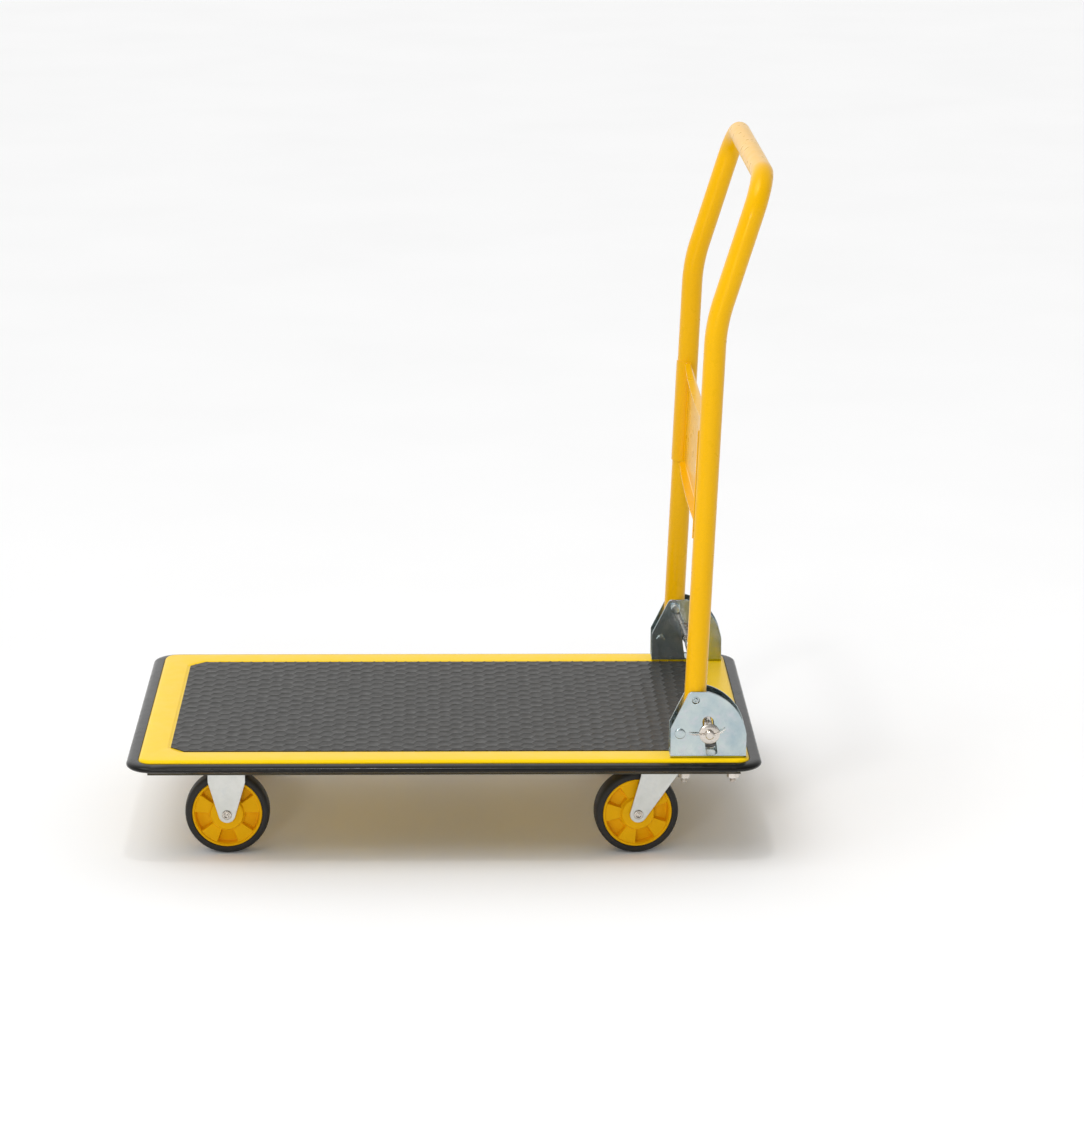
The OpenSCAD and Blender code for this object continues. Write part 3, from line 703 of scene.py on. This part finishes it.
def bracket_fasteners():
    """Hex bolts down through brackets, deck and rail, with washers and nuts below."""
    bolts, washers, nuts = [], [], []
    lo, hi = mm_box("bracket_bolts")
    wlo = mm_box("bracket_washers")[0]
    nlo, nhi = mm_box("bracket_nuts")
    r = M8_FLATS / math.sqrt(3)
    xs = (lo.x + r, hi.x - r)
    top = hi.z - HEAD_H
    for x in xs:
        for s in (-1, 1):
            y = s * BOLT_Y
            turn = Matrix.Rotation(0.3 * x + s, 4, "Z")
            head = place(chamfered_hex("head", M8_FLATS, HEAD_H), shift(x, y, top) @ turn)
            tip = place(thread("tip", 4, 4.6), shift(x, y, nlo.z) @ Matrix.Rotation(math.pi, 4, "X"))
            bolts += [head, tip]
            ring = [(4.3, 0), (7.8, 0), (8, 0.25), (8, 1.35), (7.8, 1.6), (4.3, 1.6)]
            washer = lathe("washer", ring, 40, closed=True)
            washers.append(place(washer, shift(x, y, wlo.z) @ TURN_UP))
            nut = chamfered_hex("nut", M8_FLATS, nhi.z - nlo.z, True, M8_BORE)
            nuts.append(place(nut, shift(x, y, nlo.z) @ turn))
    piece(join("bracket_bolt_set", bolts), "deck", "bolt_steel", "bracket_bolts")
    piece(join("bracket_washer_set", washers), "deck", "bolt_steel", "bracket_washers")
    piece(join("bracket_nut_set", nuts), "deck", "bolt_steel", "bracket_nuts")


def bracket_pins():
    """Riveted pivot pins with a necked inner end for the spring, and domed stop pins."""
    pins, stops = [], []
    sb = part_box("stop_pins")
    sx, sz = (sb[0].x + sb[1].x) / 2 / MM, (sb[0].z + sb[1].z) / 2 / MM
    out = 15.5
    for s in (-1, 1):
        prof = [(0, -out - 9), (4.9, -out - 9), (5.4, -out - 8.7), (5.4, -out - 8.1), (4.9, -out - 7.8),
                (3.95, -out - 7.8), (3.95, -out - 1.3), (6.2, -out - 1.3), (6.4, -out - 1.1),
                (6.4, -out - 0.1), (3.95, -out - 0.1), (3.95, out - 1.9), (2.6, out - 2.0),
                (2.45, out + 0.1), (2.1, out + 0.45), (1.2, out + 0.5), (0.9, out - 0.3), (0, out - 0.4)]
        pin = lathe("pin", round_corner(prof, 0.35, 3), 48)
        pins.append(place(pin, shift(PIVOT.x, s * LEG_Y, PIVOT.z) @ Matrix.Scale(s, 4, (0, 1, 0))))
        dome = [(0, -out - 3.3), (2.9, -out - 3.3), (2.9, out), (6.3, out + 0.05), (6.35, out + 0.4),
                (6.1, out + 0.85), (5.2, out + 1.2), (3.4, out + 1.45), (1.6, out + 1.55), (0, out + 1.58)]
        stop = lathe("stop", round_corner(dome, 0.3, 3), 48)
        stops.append(place(stop, shift(sx, s * LEG_Y, sz) @ Matrix.Scale(s, 4, (0, 1, 0))))
        nut = place(chamfered_hex("stop_nut", 8.7, 3.3), TURN_UP)
        at = shift(sx, s * LEG_Y, sz) @ Matrix.Scale(s, 4, (0, 1, 0))
        stops.append(place(nut, at @ shift(0, -out - 0.1, 0)))
    for group, name, node in ((pins, "pivot_pin_pair", "pivot_pins"), (stops, "stop_pin_pair", "stop_pins")):
        o = join(name, group)
        fix_normals(o)
        piece(o, "deck", "zinc", node)


def fix_normals(obj):
    bm = bmesh.new()
    bm.from_mesh(obj.data)
    bmesh.ops.recalc_face_normals(bm, faces=bm.faces)
    bm.to_mesh(obj.data)
    bm.free()
    finish_mesh(obj.data, 40)


# ---------------------------------------------------------------- release rod and springs

ROD_LO, ROD_HI = mm_box("release_rod")
ROD_X, ROD_Z = (ROD_LO.x + ROD_HI.x) / 2, (ROD_LO.z + ROD_HI.z) / 2


def release_rod():
    end, r = ROD_HI.y, 5.0
    groove = 184.5
    prof = [(0, -end), (r - 1, -end), (r, -end + 1)]
    prof += [(r, -groove - 1.4), (r - 0.5, -groove - 0.9), (r - 0.5, -groove + 0.9), (r, -groove + 1.4)]
    prof += [(a, -b) for a, b in prof[::-1]]
    rod = lathe("release_rod_bar", round_corner(prof, 0.3, 3), 40)
    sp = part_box("rod_split_pins")
    y = sp[1].y / MM - 1.0
    place(rod, shift(ROD_X, 0, ROD_Z))
    for s in (-1, 1):
        hole = place(prism_z("hole", circle(1.25, 20), -8, 8), Matrix.Rotation(math.pi / 2, 4, "Y"))
        cut(rod, place(hole, shift(ROD_X, s * y, ROD_Z)))
    piece(rod, "release_rod", "bolt_steel", "release_rod")
    w_hi = mm_box("rod_washers")[1]
    t = 1.6
    washers, splits = [], []
    for s in (-1, 1):
        ring = [(5.25, 0), (11.5, 0), (12, 0.35), (12, 1.25), (11.5, t), (5.25, t)]
        w = lathe("washer", ring, 56, closed=True)
        washers.append(place(w, shift(ROD_X, s * (w_hi.y - t), ROD_Z) @ Matrix.Scale(s, 4, (0, 1, 0))))
        for half, bend, reach in ((0.4, 62, 13.0), (-0.4, 70, 10.0)):
            pts = [(-23.5 if half > 0 else -21.0, 0, half * 0.6)]
            pts += [(x, 0, half) for x in np.linspace(-18, 7, 9)]
            a = 0.0
            x, z = 7.0, half
            for _ in range(12):
                a = min(a + bend / 4.0, 90 - bend)
                x += reach / 12 * math.cos(math.radians(min(a, 28)))
                z += reach / 12 * math.sin(math.radians(min(a, 28)))
                pts.append((x, 0, z))
            leg = tube("leg", pts, 0.42, 10)
            splits.append(place(leg, shift(ROD_X, s * y, ROD_Z)))
    o = join("rod_washer_pair", washers)
    fix_normals(o)
    piece(o, "release_rod", "bolt_steel", "rod_washers")
    piece(join("rod_split_pin_pair", splits), "release_rod", "bolt_steel", "rod_split_pins")


def release_spring(node):
    """A close-wound tension spring with a hook at each end."""
    lo, hi = mm_box(node)
    y = (lo.y + hi.y) / 2
    a, b = Vector((PIVOT.x, y, PIVOT.z)), Vector((ROD_X, y, ROD_Z))
    length = (b - a).length
    along = (b - a).normalized()
    across, deep = Vector((0, 1, 0)), along.cross(Vector((0, 1, 0)))
    wire, coil_r, hook = 0.58, 3.0, 7.2
    turns = int((length - 2 * hook) / (2 * wire))

    def at(s, u, v):
        return a + along * s + across * u + deep * v

    pts = []
    for t in np.linspace(math.radians(330), math.radians(95), 22):
        pts.append(at(4.75 * math.cos(t), 0, 4.75 * math.sin(t)))
    coil0, coil1 = hook, length - hook
    steps = turns * 20
    for i in range(steps + 1):
        t = 2 * math.pi * i / 20
        pts.append(at(coil0 + (coil1 - coil0) * i / steps, coil_r * math.sin(t), coil_r * math.cos(t)))
    for t in np.linspace(math.radians(85), math.radians(-150), 22):
        pts.append(at(length - 5.3 * math.cos(t), 0, 5.3 * math.sin(t)))
    smooth = [pts[0]]
    for p, q, r in zip(pts, pts[1:], pts[2:]):
        smooth.append(q * 0.6 + (p + r) * 0.2)
    smooth.append(pts[-1])
    spring = tube(f"{node}_wound", smooth, wire, 8)
    spring.data.materials.append(M["spring_steel"])
    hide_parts(node)
    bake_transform(spring)


# ---------------------------------------------------------------- handle


def leg_frame():
    return shift(PIVOT.x, 0, PIVOT.z) @ Matrix.Rotation(LEAN, 4, "Y")


def handle_path():
    """Centre line of the bent tube, from one tail to the other."""
    turn = math.radians(14.95)
    low_l, top_l, bend_r, corner_r, tail = 440.7, 174.8, 200.0, 41.0, 35.0
    tan = bend_r * math.tan(turn / 2)
    flat = [(0, -tail), (0, -20), (0, 20)] + [(0, z) for z in np.linspace(60, low_l - tan - 4, 8)]
    for a in np.linspace(0, turn, 14):
        flat.append((bend_r * (1 - math.cos(a)), low_l - tan + bend_r * math.sin(a)))
    dx, dz = math.sin(turn), math.cos(turn)
    for d in np.linspace(tan + 8, top_l - corner_r - 2, 6):
        flat.append((dx * d, low_l + dz * d))
    side = [(x, LEG_Y, z) for x, z in flat]
    for a in np.linspace(0, math.pi / 2, 18):
        d = top_l - corner_r + corner_r * math.sin(a)
        side.append((dx * d, LEG_Y - corner_r * (1 - math.cos(a)), low_l + dz * d))
    half = LEG_Y - corner_r - 6
    bar = [(dx * top_l, y, low_l + dz * top_l) for y in np.linspace(half, -half, 12)]
    other = [(x, -y, z) for x, y, z in side[::-1]]
    return side + bar + other


def handle_tube():
    """The bent tube, open at both tails, with the pivot pins' holes."""
    r, wall = 12.7, 1.5
    path = [Vector(p) for p in handle_path()]
    n, seg = len(path), 40
    frames, side = [], None
    for i, p in enumerate(path):
        t = (path[min(i + 1, n - 1)] - path[max(i - 1, 0)]).normalized()
        if side is None:
            side = Vector((1, 0, 0))
        side = (side - t * side.dot(t)).normalized()
        frames.append((p, side.copy(), t.cross(side)))

    def ring(i, rad):
        p, s, o = frames[i]
        return [tuple(p + (s * math.cos(u) + o * math.sin(u)) * rad)
                for u in np.linspace(0, TAU, seg, endpoint=False)]

    outer = [ring(i, r) for i in range(n)]
    ends = []
    for i, inward in ((0, path[1] - path[0]), (n - 1, path[-2] - path[-1])):
        t = inward.normalized()
        lip = [tuple(Vector(q) + t * 0.4) for q in ring(i, r)]
        mouth = [tuple(Vector(q) + t * 0.3) for q in ring(i, r - wall)]
        deep = [tuple(Vector(q) + t * 70) for q in ring(i, r - wall)]
        ends.append([lip, ring(i, r - 0.4), ring(i, r - wall + 0.2), mouth, deep])
    first, last = ends
    loops = first[::-1] + outer[1:-1] + last
    verts, faces = bridge(loops, True, True)
    obj = make("handle_tube_bent", verts, faces, 50)
    for s in (-1, 1):
        cut(obj, prism_y("pin_hole", circle(4.4, 32), s * LEG_Y - 15, s * LEG_Y + 15))
    place(obj, leg_frame())
    finish_mesh(obj.data, 40)
    piece(obj, "handle", "handle_paint", "handle_tube")


def handle_panel():
    """Folded sheet between the legs. Its wings wrap each leg's inner side, and its long edges are turned
    towards the deck."""
    t, back, clear, bend = 1.2, 2.5, 12.8, 2.2
    z0, h, reach, end, bow = 189.5, 127.0, 184.0, 7.5, 3.5
    rc = clear + t / 2
    wing = [(-rc * math.cos(a), -LEG_Y + rc * math.sin(a)) for a in np.linspace(0, math.pi / 2, 13)]
    inner = rc - LEG_Y
    wing += [(1.1, inner), (1.8, inner + 0.2), (2.3, inner + 0.7), (back, inner + 1.4), (back, inner + 3.0)]
    middle = [-reach, 1.2 - reach, 3.5 - reach, 7 - reach] + np.linspace(-165, 165, 15).tolist()
    middle += [reach - 7, reach - 3.5, reach - 1.2, reach]
    share = [0, 0.004, 0.03] + np.linspace(0.1, 0.9, 7).tolist() + [0.97, 0.996, 1]
    turn = np.linspace(0, math.pi / 2, 6)[1:].tolist()
    verts, columns = [], []

    def column(points):
        columns.append(list(range(len(verts), len(verts) + len(points))))
        verts.extend(points)

    for x, y in wing:
        column([(x, y, z0 + h * f) for f in share])
    lead = len(wing)
    for y in middle:
        low, high = z0 + t / 2 + bend, z0 + h - t / 2 - bend
        corner = min(1.0, 0.72 + 0.28 * (reach - abs(y)) / 3.5)
        depth = back - (end + bow * (1 - (y / reach) ** 2)) * corner
        top, bottom = [], []
        for a in turn:
            x = back - bend * (1 - math.cos(a))
            top.append((x, y, high + bend * math.sin(a)))
            bottom.append((x, y, low - bend * math.sin(a)))
        for f in (0.25, 0.5, 0.75, 0.95, 1.0):
            x = back - bend + (depth - back + bend) * f
            top.append((x, y, high + bend))
            bottom.append((x, y, low - bend))
        column(bottom[::-1] + [(back, y, low + (high - low) * f) for f in share] + top)
    tail = len(columns)
    for x, y in wing[::-1]:
        column([(x, -y, z0 + h * f) for f in share])
    k = len(turn) + 5
    faces = []
    for i in range(len(columns) - 1):
        a, b = columns[i], columns[i + 1]
        if i == lead - 1:
            b = b[k:-k]
        elif i == tail - 1:
            a = a[k:-k]
        faces += [(a[j], b[j], b[j + 1], a[j + 1]) for j in range(len(a) - 1)]
    sheet = make("handle_panel_sheet", verts, faces)
    m = sheet.modifiers.new("thick", "SOLIDIFY")
    m.thickness = t * MM
    m.offset = 0
    bake(sheet)
    bevel(sheet, 0.3, 2, 60)
    place(sheet, leg_frame())
    piece(sheet, "handle", "handle_paint", "handle_panel")


# ---------------------------------------------------------------- casters

# sizes about a wheel's centre, shared by the fixed and the swivel casters
CHEEK_GAP = 16.0
CHEEK_T = 2.5
PLATE_Z = (62.5, 65)
TRAIL = 25.0
WHEEL_R = 50
RIM_TURN = {"swivel_near": 16.0}  # degrees a rim's pattern is turned on its axle, as it stopped


def cheek_outline(x0, x1, top, taper, r=10.0):
    """Straight edges down from the top, then tangent lines to the round end at the axle."""

    def tangent(px, pz, side):
        d = math.hypot(px, pz)
        base = math.atan2(pz, px)
        return base + side * math.acos(r / d)

    right = tangent(x1, taper, -1)
    left = tangent(x0, taper, 1)
    if left < 0:
        left += 2 * math.pi
    pts = [(x0, top), (x0, taper)]
    sweep = np.linspace(left, right + 2 * math.pi, 22)
    pts += [(r * math.cos(a), r * math.sin(a)) for a in sweep]
    pts += [(x1, taper), (x1, top)]
    return pts


def fork_cheeks(x0, x1, top, taper):
    """The two cheeks about the axle's centre, with the axle hole."""
    gap, t = CHEEK_GAP, CHEEK_T
    out = []
    for s in (-1, 1):
        y0, y1 = sorted((s * gap, s * (gap + t)))
        c = prism_y("cheek", cheek_outline(x0, x1, top, taper), y0, y1)
        cut(c, prism_y("hole", circle(4.1, 32), y0 - 1, y1 + 1))
        out.append(bevel(c, 0.45, 3, 50))
    return out


def caster_plate():
    """A mounting plate with its four bolt holes, above the wheel's centre."""
    outline = [(x, y) for x, y, _ in rounded_loop(52, 40, 6, 0, 7)]
    plate = prism_z("plate", outline, *PLATE_Z)
    for x in (-40, 40):
        for y in (-30, 30):
            cut(plate, prism_z("hole", circle(4.25, 28, x, y), 60, 70))
    return bevel(plate, 0.4, 2)


def bend_fillet(x0, x1, z, s):
    """Quarter-round of sheet where a cheek meets its plate."""
    gap, t, r = CHEEK_GAP, CHEEK_T, 3.5
    prof = [(gap + t + r * (1 - math.sin(a)), z - r * (1 - math.cos(a)))
            for a in np.linspace(0, math.pi / 2, 6)]
    prof += [(gap + 0.6, z - r - 0.1), (gap + 0.6, z + 0.4), (gap + t + r, z + 0.4)]
    k = len(prof)
    verts = [(x, s * y, height) for x in (x0 + 0.5, x1 - 0.5) for y, height in prof]
    faces = [tuple(range(k)), tuple(range(k, 2 * k))]
    faces += [(i, (i + 1) % k, k + (i + 1) % k, k + i) for i in range(k)]
    return make("fillet", verts, faces, 30)


def axle_matrix(joint):
    """Frame at a wheel's centre: Y along its axle."""
    j = joints[joint]
    ax = Vector(j["axis"])
    turn = math.atan2(-ax.x, ax.y)
    return Matrix.Translation(Vector(j["pos_m"])) @ Matrix.Rotation(turn, 4, "Z")


def fixed_fork(node, joint):
    parts = fork_cheeks(-22, 22, 63, 40) + [caster_plate()]
    parts += [bend_fillet(-22, 22, PLATE_Z[0], s) for s in (-1, 1)]
    o = join(f"{node}_pressed", parts)
    place(o, axle_matrix(joint))
    fix_normals(o)
    piece(o, "deck", "caster_zinc", node)


def swivel_fork(node, joint, body):
    parts = fork_cheeks(TRAIL - 22.2, TRAIL + 22, 56.2, 48)
    prof = [(6.1, 53.5), (28.2, 53.5), (29, 54.2), (29, 55.4), (28.2, 56.2), (24.8, 56.2), (22.2, 55.2),
            (19.6, 56.2), (6.1, 56.2)]
    crown = place(lathe("crown", prof, 64, closed=True), TURN_UP)
    place(crown, shift(TRAIL, 0, 0))
    x0, x1, y = TRAIL - 22, TRAIL + 20, 18.4
    web = prism_z("web", [(x0, -y), (x1, -y), (x1, y), (x0, y)], 53.5, 56.1)
    cut(web, prism_z("bore", circle(8, 32, TRAIL, 0), 50, 60))
    parts += [crown, bevel(web, 0.4, 2)]
    o = join(f"{node}_pressed", parts)
    place(o, axle_matrix(joint))
    fix_normals(o)
    piece(o, body, "caster_zinc", node)


def axle_end(s):
    """Rolled end of the axle against the outer cheek."""
    prof = [(0, 18.3), (5.6, 18.3), (5.85, 18.7), (5.6, 19.6), (4.7, 20.3), (3.6, 20.2), (2.9, 19.3),
            (2.3, 18.9), (1.6, 19.0), (1.0, 19.4), (0, 19.5)]
    o = lathe("axle_end", round_corner(prof, 0.3, 3), 48)
    return place(o, Matrix.Scale(s, 4, (0, 1, 0)))


def axle(joint, outer):
    """Axle bolt parts and its nut at a wheel's centre, the nut's end on the outer side."""
    rod = lathe("shank", [(0, -18.8), (3.95, -18.8), (3.95, 24.8), (0, 24.8)], 32)
    tip = place(thread("tip", 4, 2.6), shift(0, 24.6, 0) @ TURN_OUT)
    end = axle_end(-1)
    parts = [rod, tip, end]
    hexa = place(chamfered_hex("hex", M8_FLATS, 6.5, True, M8_BORE), shift(0, 18.55, 0) @ TURN_OUT)
    flip = Matrix.Scale(-1, 4, (0, 1, 0)) if outer > 0 else Matrix.Identity(4)
    m = axle_matrix(joint) @ flip
    return [place(p, m) for p in parts], place(hexa, m)


def axles():
    bolts, nuts = [], []
    for side, s in (("near", -1), ("far", 1)):
        b, n = axle(f"wheel_fixed_{side}_spin", s)
        bolts += b
        nuts.append(n)
        b, n = axle(f"wheel_swivel_{side}_spin", s)
        o = join(f"swivel_axle_{side}", b)
        fix_normals(o)
        piece(o, f"swivel_{side}", "bolt_steel", f"swivel_axle_bolt_{side}")
        n.name = f"swivel_axle_hex_{side}"
        fix_normals(n)
        piece(n, f"swivel_{side}", "bolt_steel", f"swivel_axle_nut_{side}")
    for group, name, node in ((bolts, "fixed_axle_pair", "fixed_axle_bolts"),
                              (nuts, "fixed_axle_hex_pair", "fixed_axle_nuts")):
        o = join(name, group)
        fix_normals(o)
        piece(o, "deck", "bolt_steel", node)


def rim_height(r, deg):
    """Half width of the moulded wheel at a radius and angle: hub, raised wedges, pockets and flange."""
    hub, outer = 19.5, 41.4

    def step(x, a, b):
        x = min(max((x - a) / (b - a), 0.0), 1.0)
        return x * x * (3 - 2 * x)

    a = (deg + 90) % 72
    a = min(a, 72 - a)
    inside = 1 - step(a, 16.2, 19.4)
    inside *= step(r, hub + 1.2, hub + 2.6) * (1 - step(r, 36.6, 37.8))
    wedge = 11.2 - 1.0 * step(r, hub, 38)
    floor = 4.6 - 2.6 * step(r, hub + 1, 36)
    face = wedge + (floor - wedge) * inside
    face = 15.4 + (face - 15.4) * step(r, hub - 0.9, hub + 0.9)
    ring = step(r, 37.9, 38.9)
    return face + (12.1 - face) * ring - 0.9 * step(r, 40.6, outer) ** 2


def wheel(name, spin_joint, body, rim_node, tyre_node, bush_node, offset):
    """A moulded rim with its tyre and bush. offset turns the rim's pattern, in degrees."""
    radii = [6.06, 6.6, 10, 14, 17.8, 18.6, 19.1, 19.5, 19.9, 20.4, 20.9, 21.5, 22.1, 24, 27, 30, 33, 35,
             36.3, 36.7, 37.0, 37.4, 37.8, 38.0, 38.3, 38.6, 39.0, 40.0, 40.7, 41.1, 41.4]
    wall = [16.0, 16.6, 17.2, 17.8, 18.4, 19.0, 19.6]
    offsets = [-d for d in wall] + [-10, -5, 0, 5, 10] + wall + [24, 30, 36, 42, 48]
    angles = []
    for k in range(5):
        c = -90 + 72 * k
        angles += [c + d for d in offsets]
    angles.sort()
    loops = []
    for s in (1, -1):
        ring = radii if s > 0 else radii[::-1]
        for r in ring:
            loops.append([(r * math.cos(math.radians(a + offset)), s * rim_height(r, a),
                           r * math.sin(math.radians(a + offset))) for a in angles])
    verts, faces = bridge(loops, around=True)
    m = axle_matrix(spin_joint)
    rim = place(make(f"{name}_rim", verts, faces, 42), m)
    fix_normals(rim)
    piece(rim, body, "rim_plastic", rim_node)
    half = [(41.55, 12.2), (42.2, 12.9), (44.5, 12.95), (46.6, 12.6), (48.0, 11.7), (49.0, 10.3),
            (49.55, 8.4), (49.85, 5.5), (49.97, 2.5), (WHEEL_R, 0.35), (WHEEL_R, 0)]
    prof = round_corner(half, 0.5, 3)
    prof = prof + [(r, -y) for r, y in prof[-2::-1]]
    tyre = place(lathe(f"{name}_tyre", prof, 112, 60, closed=True), m)
    fix_normals(tyre)
    piece(tyre, body, "tyre_rubber", tyre_node)
    sleeve = [(4.06, -15.6), (4.3, -15.8), (5.7, -15.8), (5.95, -15.6)]
    sleeve += [(r, -y) for r, y in sleeve[::-1]]
    bush = lathe(f"{name}_bush", sleeve, 40, closed=True)
    place(bush, m)
    fix_normals(bush)
    piece(bush, body, "bolt_steel", bush_node)


def top_plates():
    parts = []
    for j in ("swivel_near_turn", "swivel_far_turn"):
        p = Vector(joints[j]["pos_m"]) / MM
        plate = caster_plate()
        prof = [(24.8, 58.2), (27.4, 58.2), (28, 58.8), (28.4, 61.2), (30.2, 62.6), (16, 62.6), (16, 58.8),
                (16.6, 58.2), (19.4, 58.2), (22.1, 59.3)]
        race = lathe("race", prof, 64, closed=True)
        place(race, TURN_UP)
        for o in (plate, race):
            parts.append(place(o, shift(p.x, p.y, WHEEL_R)))
    o = join("swivel_top_plate_pair", parts)
    fix_normals(o)
    piece(o, "deck", "caster_zinc", "swivel_top_plates")


# ---------------------------------------------------------------- build

deck_pan()
deck_mat()
bumper()
for side in ("near", "far"):
    bracket(f"hinge_bracket_{side}")
    release_spring(f"release_spring_{side}")
    fixed_fork(f"fixed_fork_{side}", f"wheel_fixed_{side}_spin")
    swivel_fork(f"swivel_fork_{side}", f"wheel_swivel_{side}_spin", f"swivel_{side}")
    for kind in ("fixed", "swivel"):
        w = f"{kind}_{side}"
        wheel(f"wheel_{w}", f"wheel_{w}_spin", f"wheel_{w}", f"rim_{w}", f"tyre_{w}", f"bush_{w}",
              RIM_TURN.get(w, 0.0))
bracket_fasteners()
bracket_pins()
release_rod()
handle_tube()
handle_panel()
axles()
top_plates()
for node in ("side_rails", "cross_channels", "mid_channel", "kingpins", "swivel_balls", "caster_bolts",
             "caster_nuts"):
    cad(node, 0.02 if node == "swivel_balls" else 0.35)

# ---------------------------------------------------------------- floor and light


def floor():
    me = bpy.data.meshes.new("studio_floor")
    w = 60.0
    me.from_pydata([(-w, -w, 0), (w, -w, 0), (w, w, 0), (-w, w, 0)], [], [(0, 1, 2, 3)])
    s = Shader("studio_floor", Roughness=0.9)
    s.color(s.ramp(s.noise(2.0), [(0.3, (0.93, 0.93, 0.93)), (0.7, (0.95, 0.95, 0.95))]))
    me.materials.append(s.mat)
    o = bpy.data.objects.new("studio_floor", me)
    bpy.context.scene.collection.objects.link(o)


def area(name, loc, target, size, power):
    light = bpy.data.lights.new(name, "AREA")
    light.shape = "RECTANGLE"
    light.size, light.size_y = size
    light.energy = power
    o = bpy.data.objects.new(name, light)
    o.location = loc
    o.rotation_euler = (Vector(target) - Vector(loc)).to_track_quat("-Z", "Y").to_euler()
    bpy.context.scene.collection.objects.link(o)


def world():
    """A soft white room: brighter behind the cart and on its left."""
    w = bpy.data.worlds.new("studio")
    w.use_nodes = True
    tree = w.node_tree
    bg = tree.nodes["Background"]
    bg.inputs["Color"].default_value = (1, 1, 1, 1)
    coord = tree.nodes.new("ShaderNodeTexCoord")
    split = tree.nodes.new("ShaderNodeSeparateXYZ")
    tree.links.new(coord.outputs["Generated"], split.inputs[0])
    levels = []
    for axis, low, high, dim, bright in ((1, -1.0, 0.9, 0.28, 0.98), (0, -0.25, 0.25, 1.18, 0.82)):
        n = tree.nodes.new("ShaderNodeMapRange")
        for i, v in enumerate((low, high, dim, bright)):
            n.inputs[i + 1].default_value = v
        tree.links.new(split.outputs[axis], n.inputs[0])
        levels.append(n.outputs[0])
    times = tree.nodes.new("ShaderNodeMath")
    times.operation = "MULTIPLY"
    tree.links.new(levels[0], times.inputs[0])
    tree.links.new(levels[1], times.inputs[1])
    tree.links.new(times.outputs[0], bg.inputs["Strength"])
    bpy.context.scene.world = w


def sun(name, toward, strength, spread):
    light = bpy.data.lights.new(name, "SUN")
    light.energy = strength
    light.angle = math.radians(spread)
    o = bpy.data.objects.new(name, light)
    o.rotation_euler = Vector(toward).to_track_quat("-Z", "Y").to_euler()
    bpy.context.scene.collection.objects.link(o)


floor()
world()
sun("overhead", (0.35, 0.4, -1.0), 1.25, 45)
area("key", (-0.58, -2.5, 0.79), (0.4, -0.2, 0.72), (0.3, 0.08), 8)
area("key_high", (-0.13, -1.3, 2.93), (0.42, -0.2, 0.77), (0.22, 0.22), 10)
area("fill", (-0.9, -3.6, 0.9), (0.0, 0, 0.15), (2.6, 1.4), 5)
bpy.context.scene.view_settings.view_transform = "Standard"
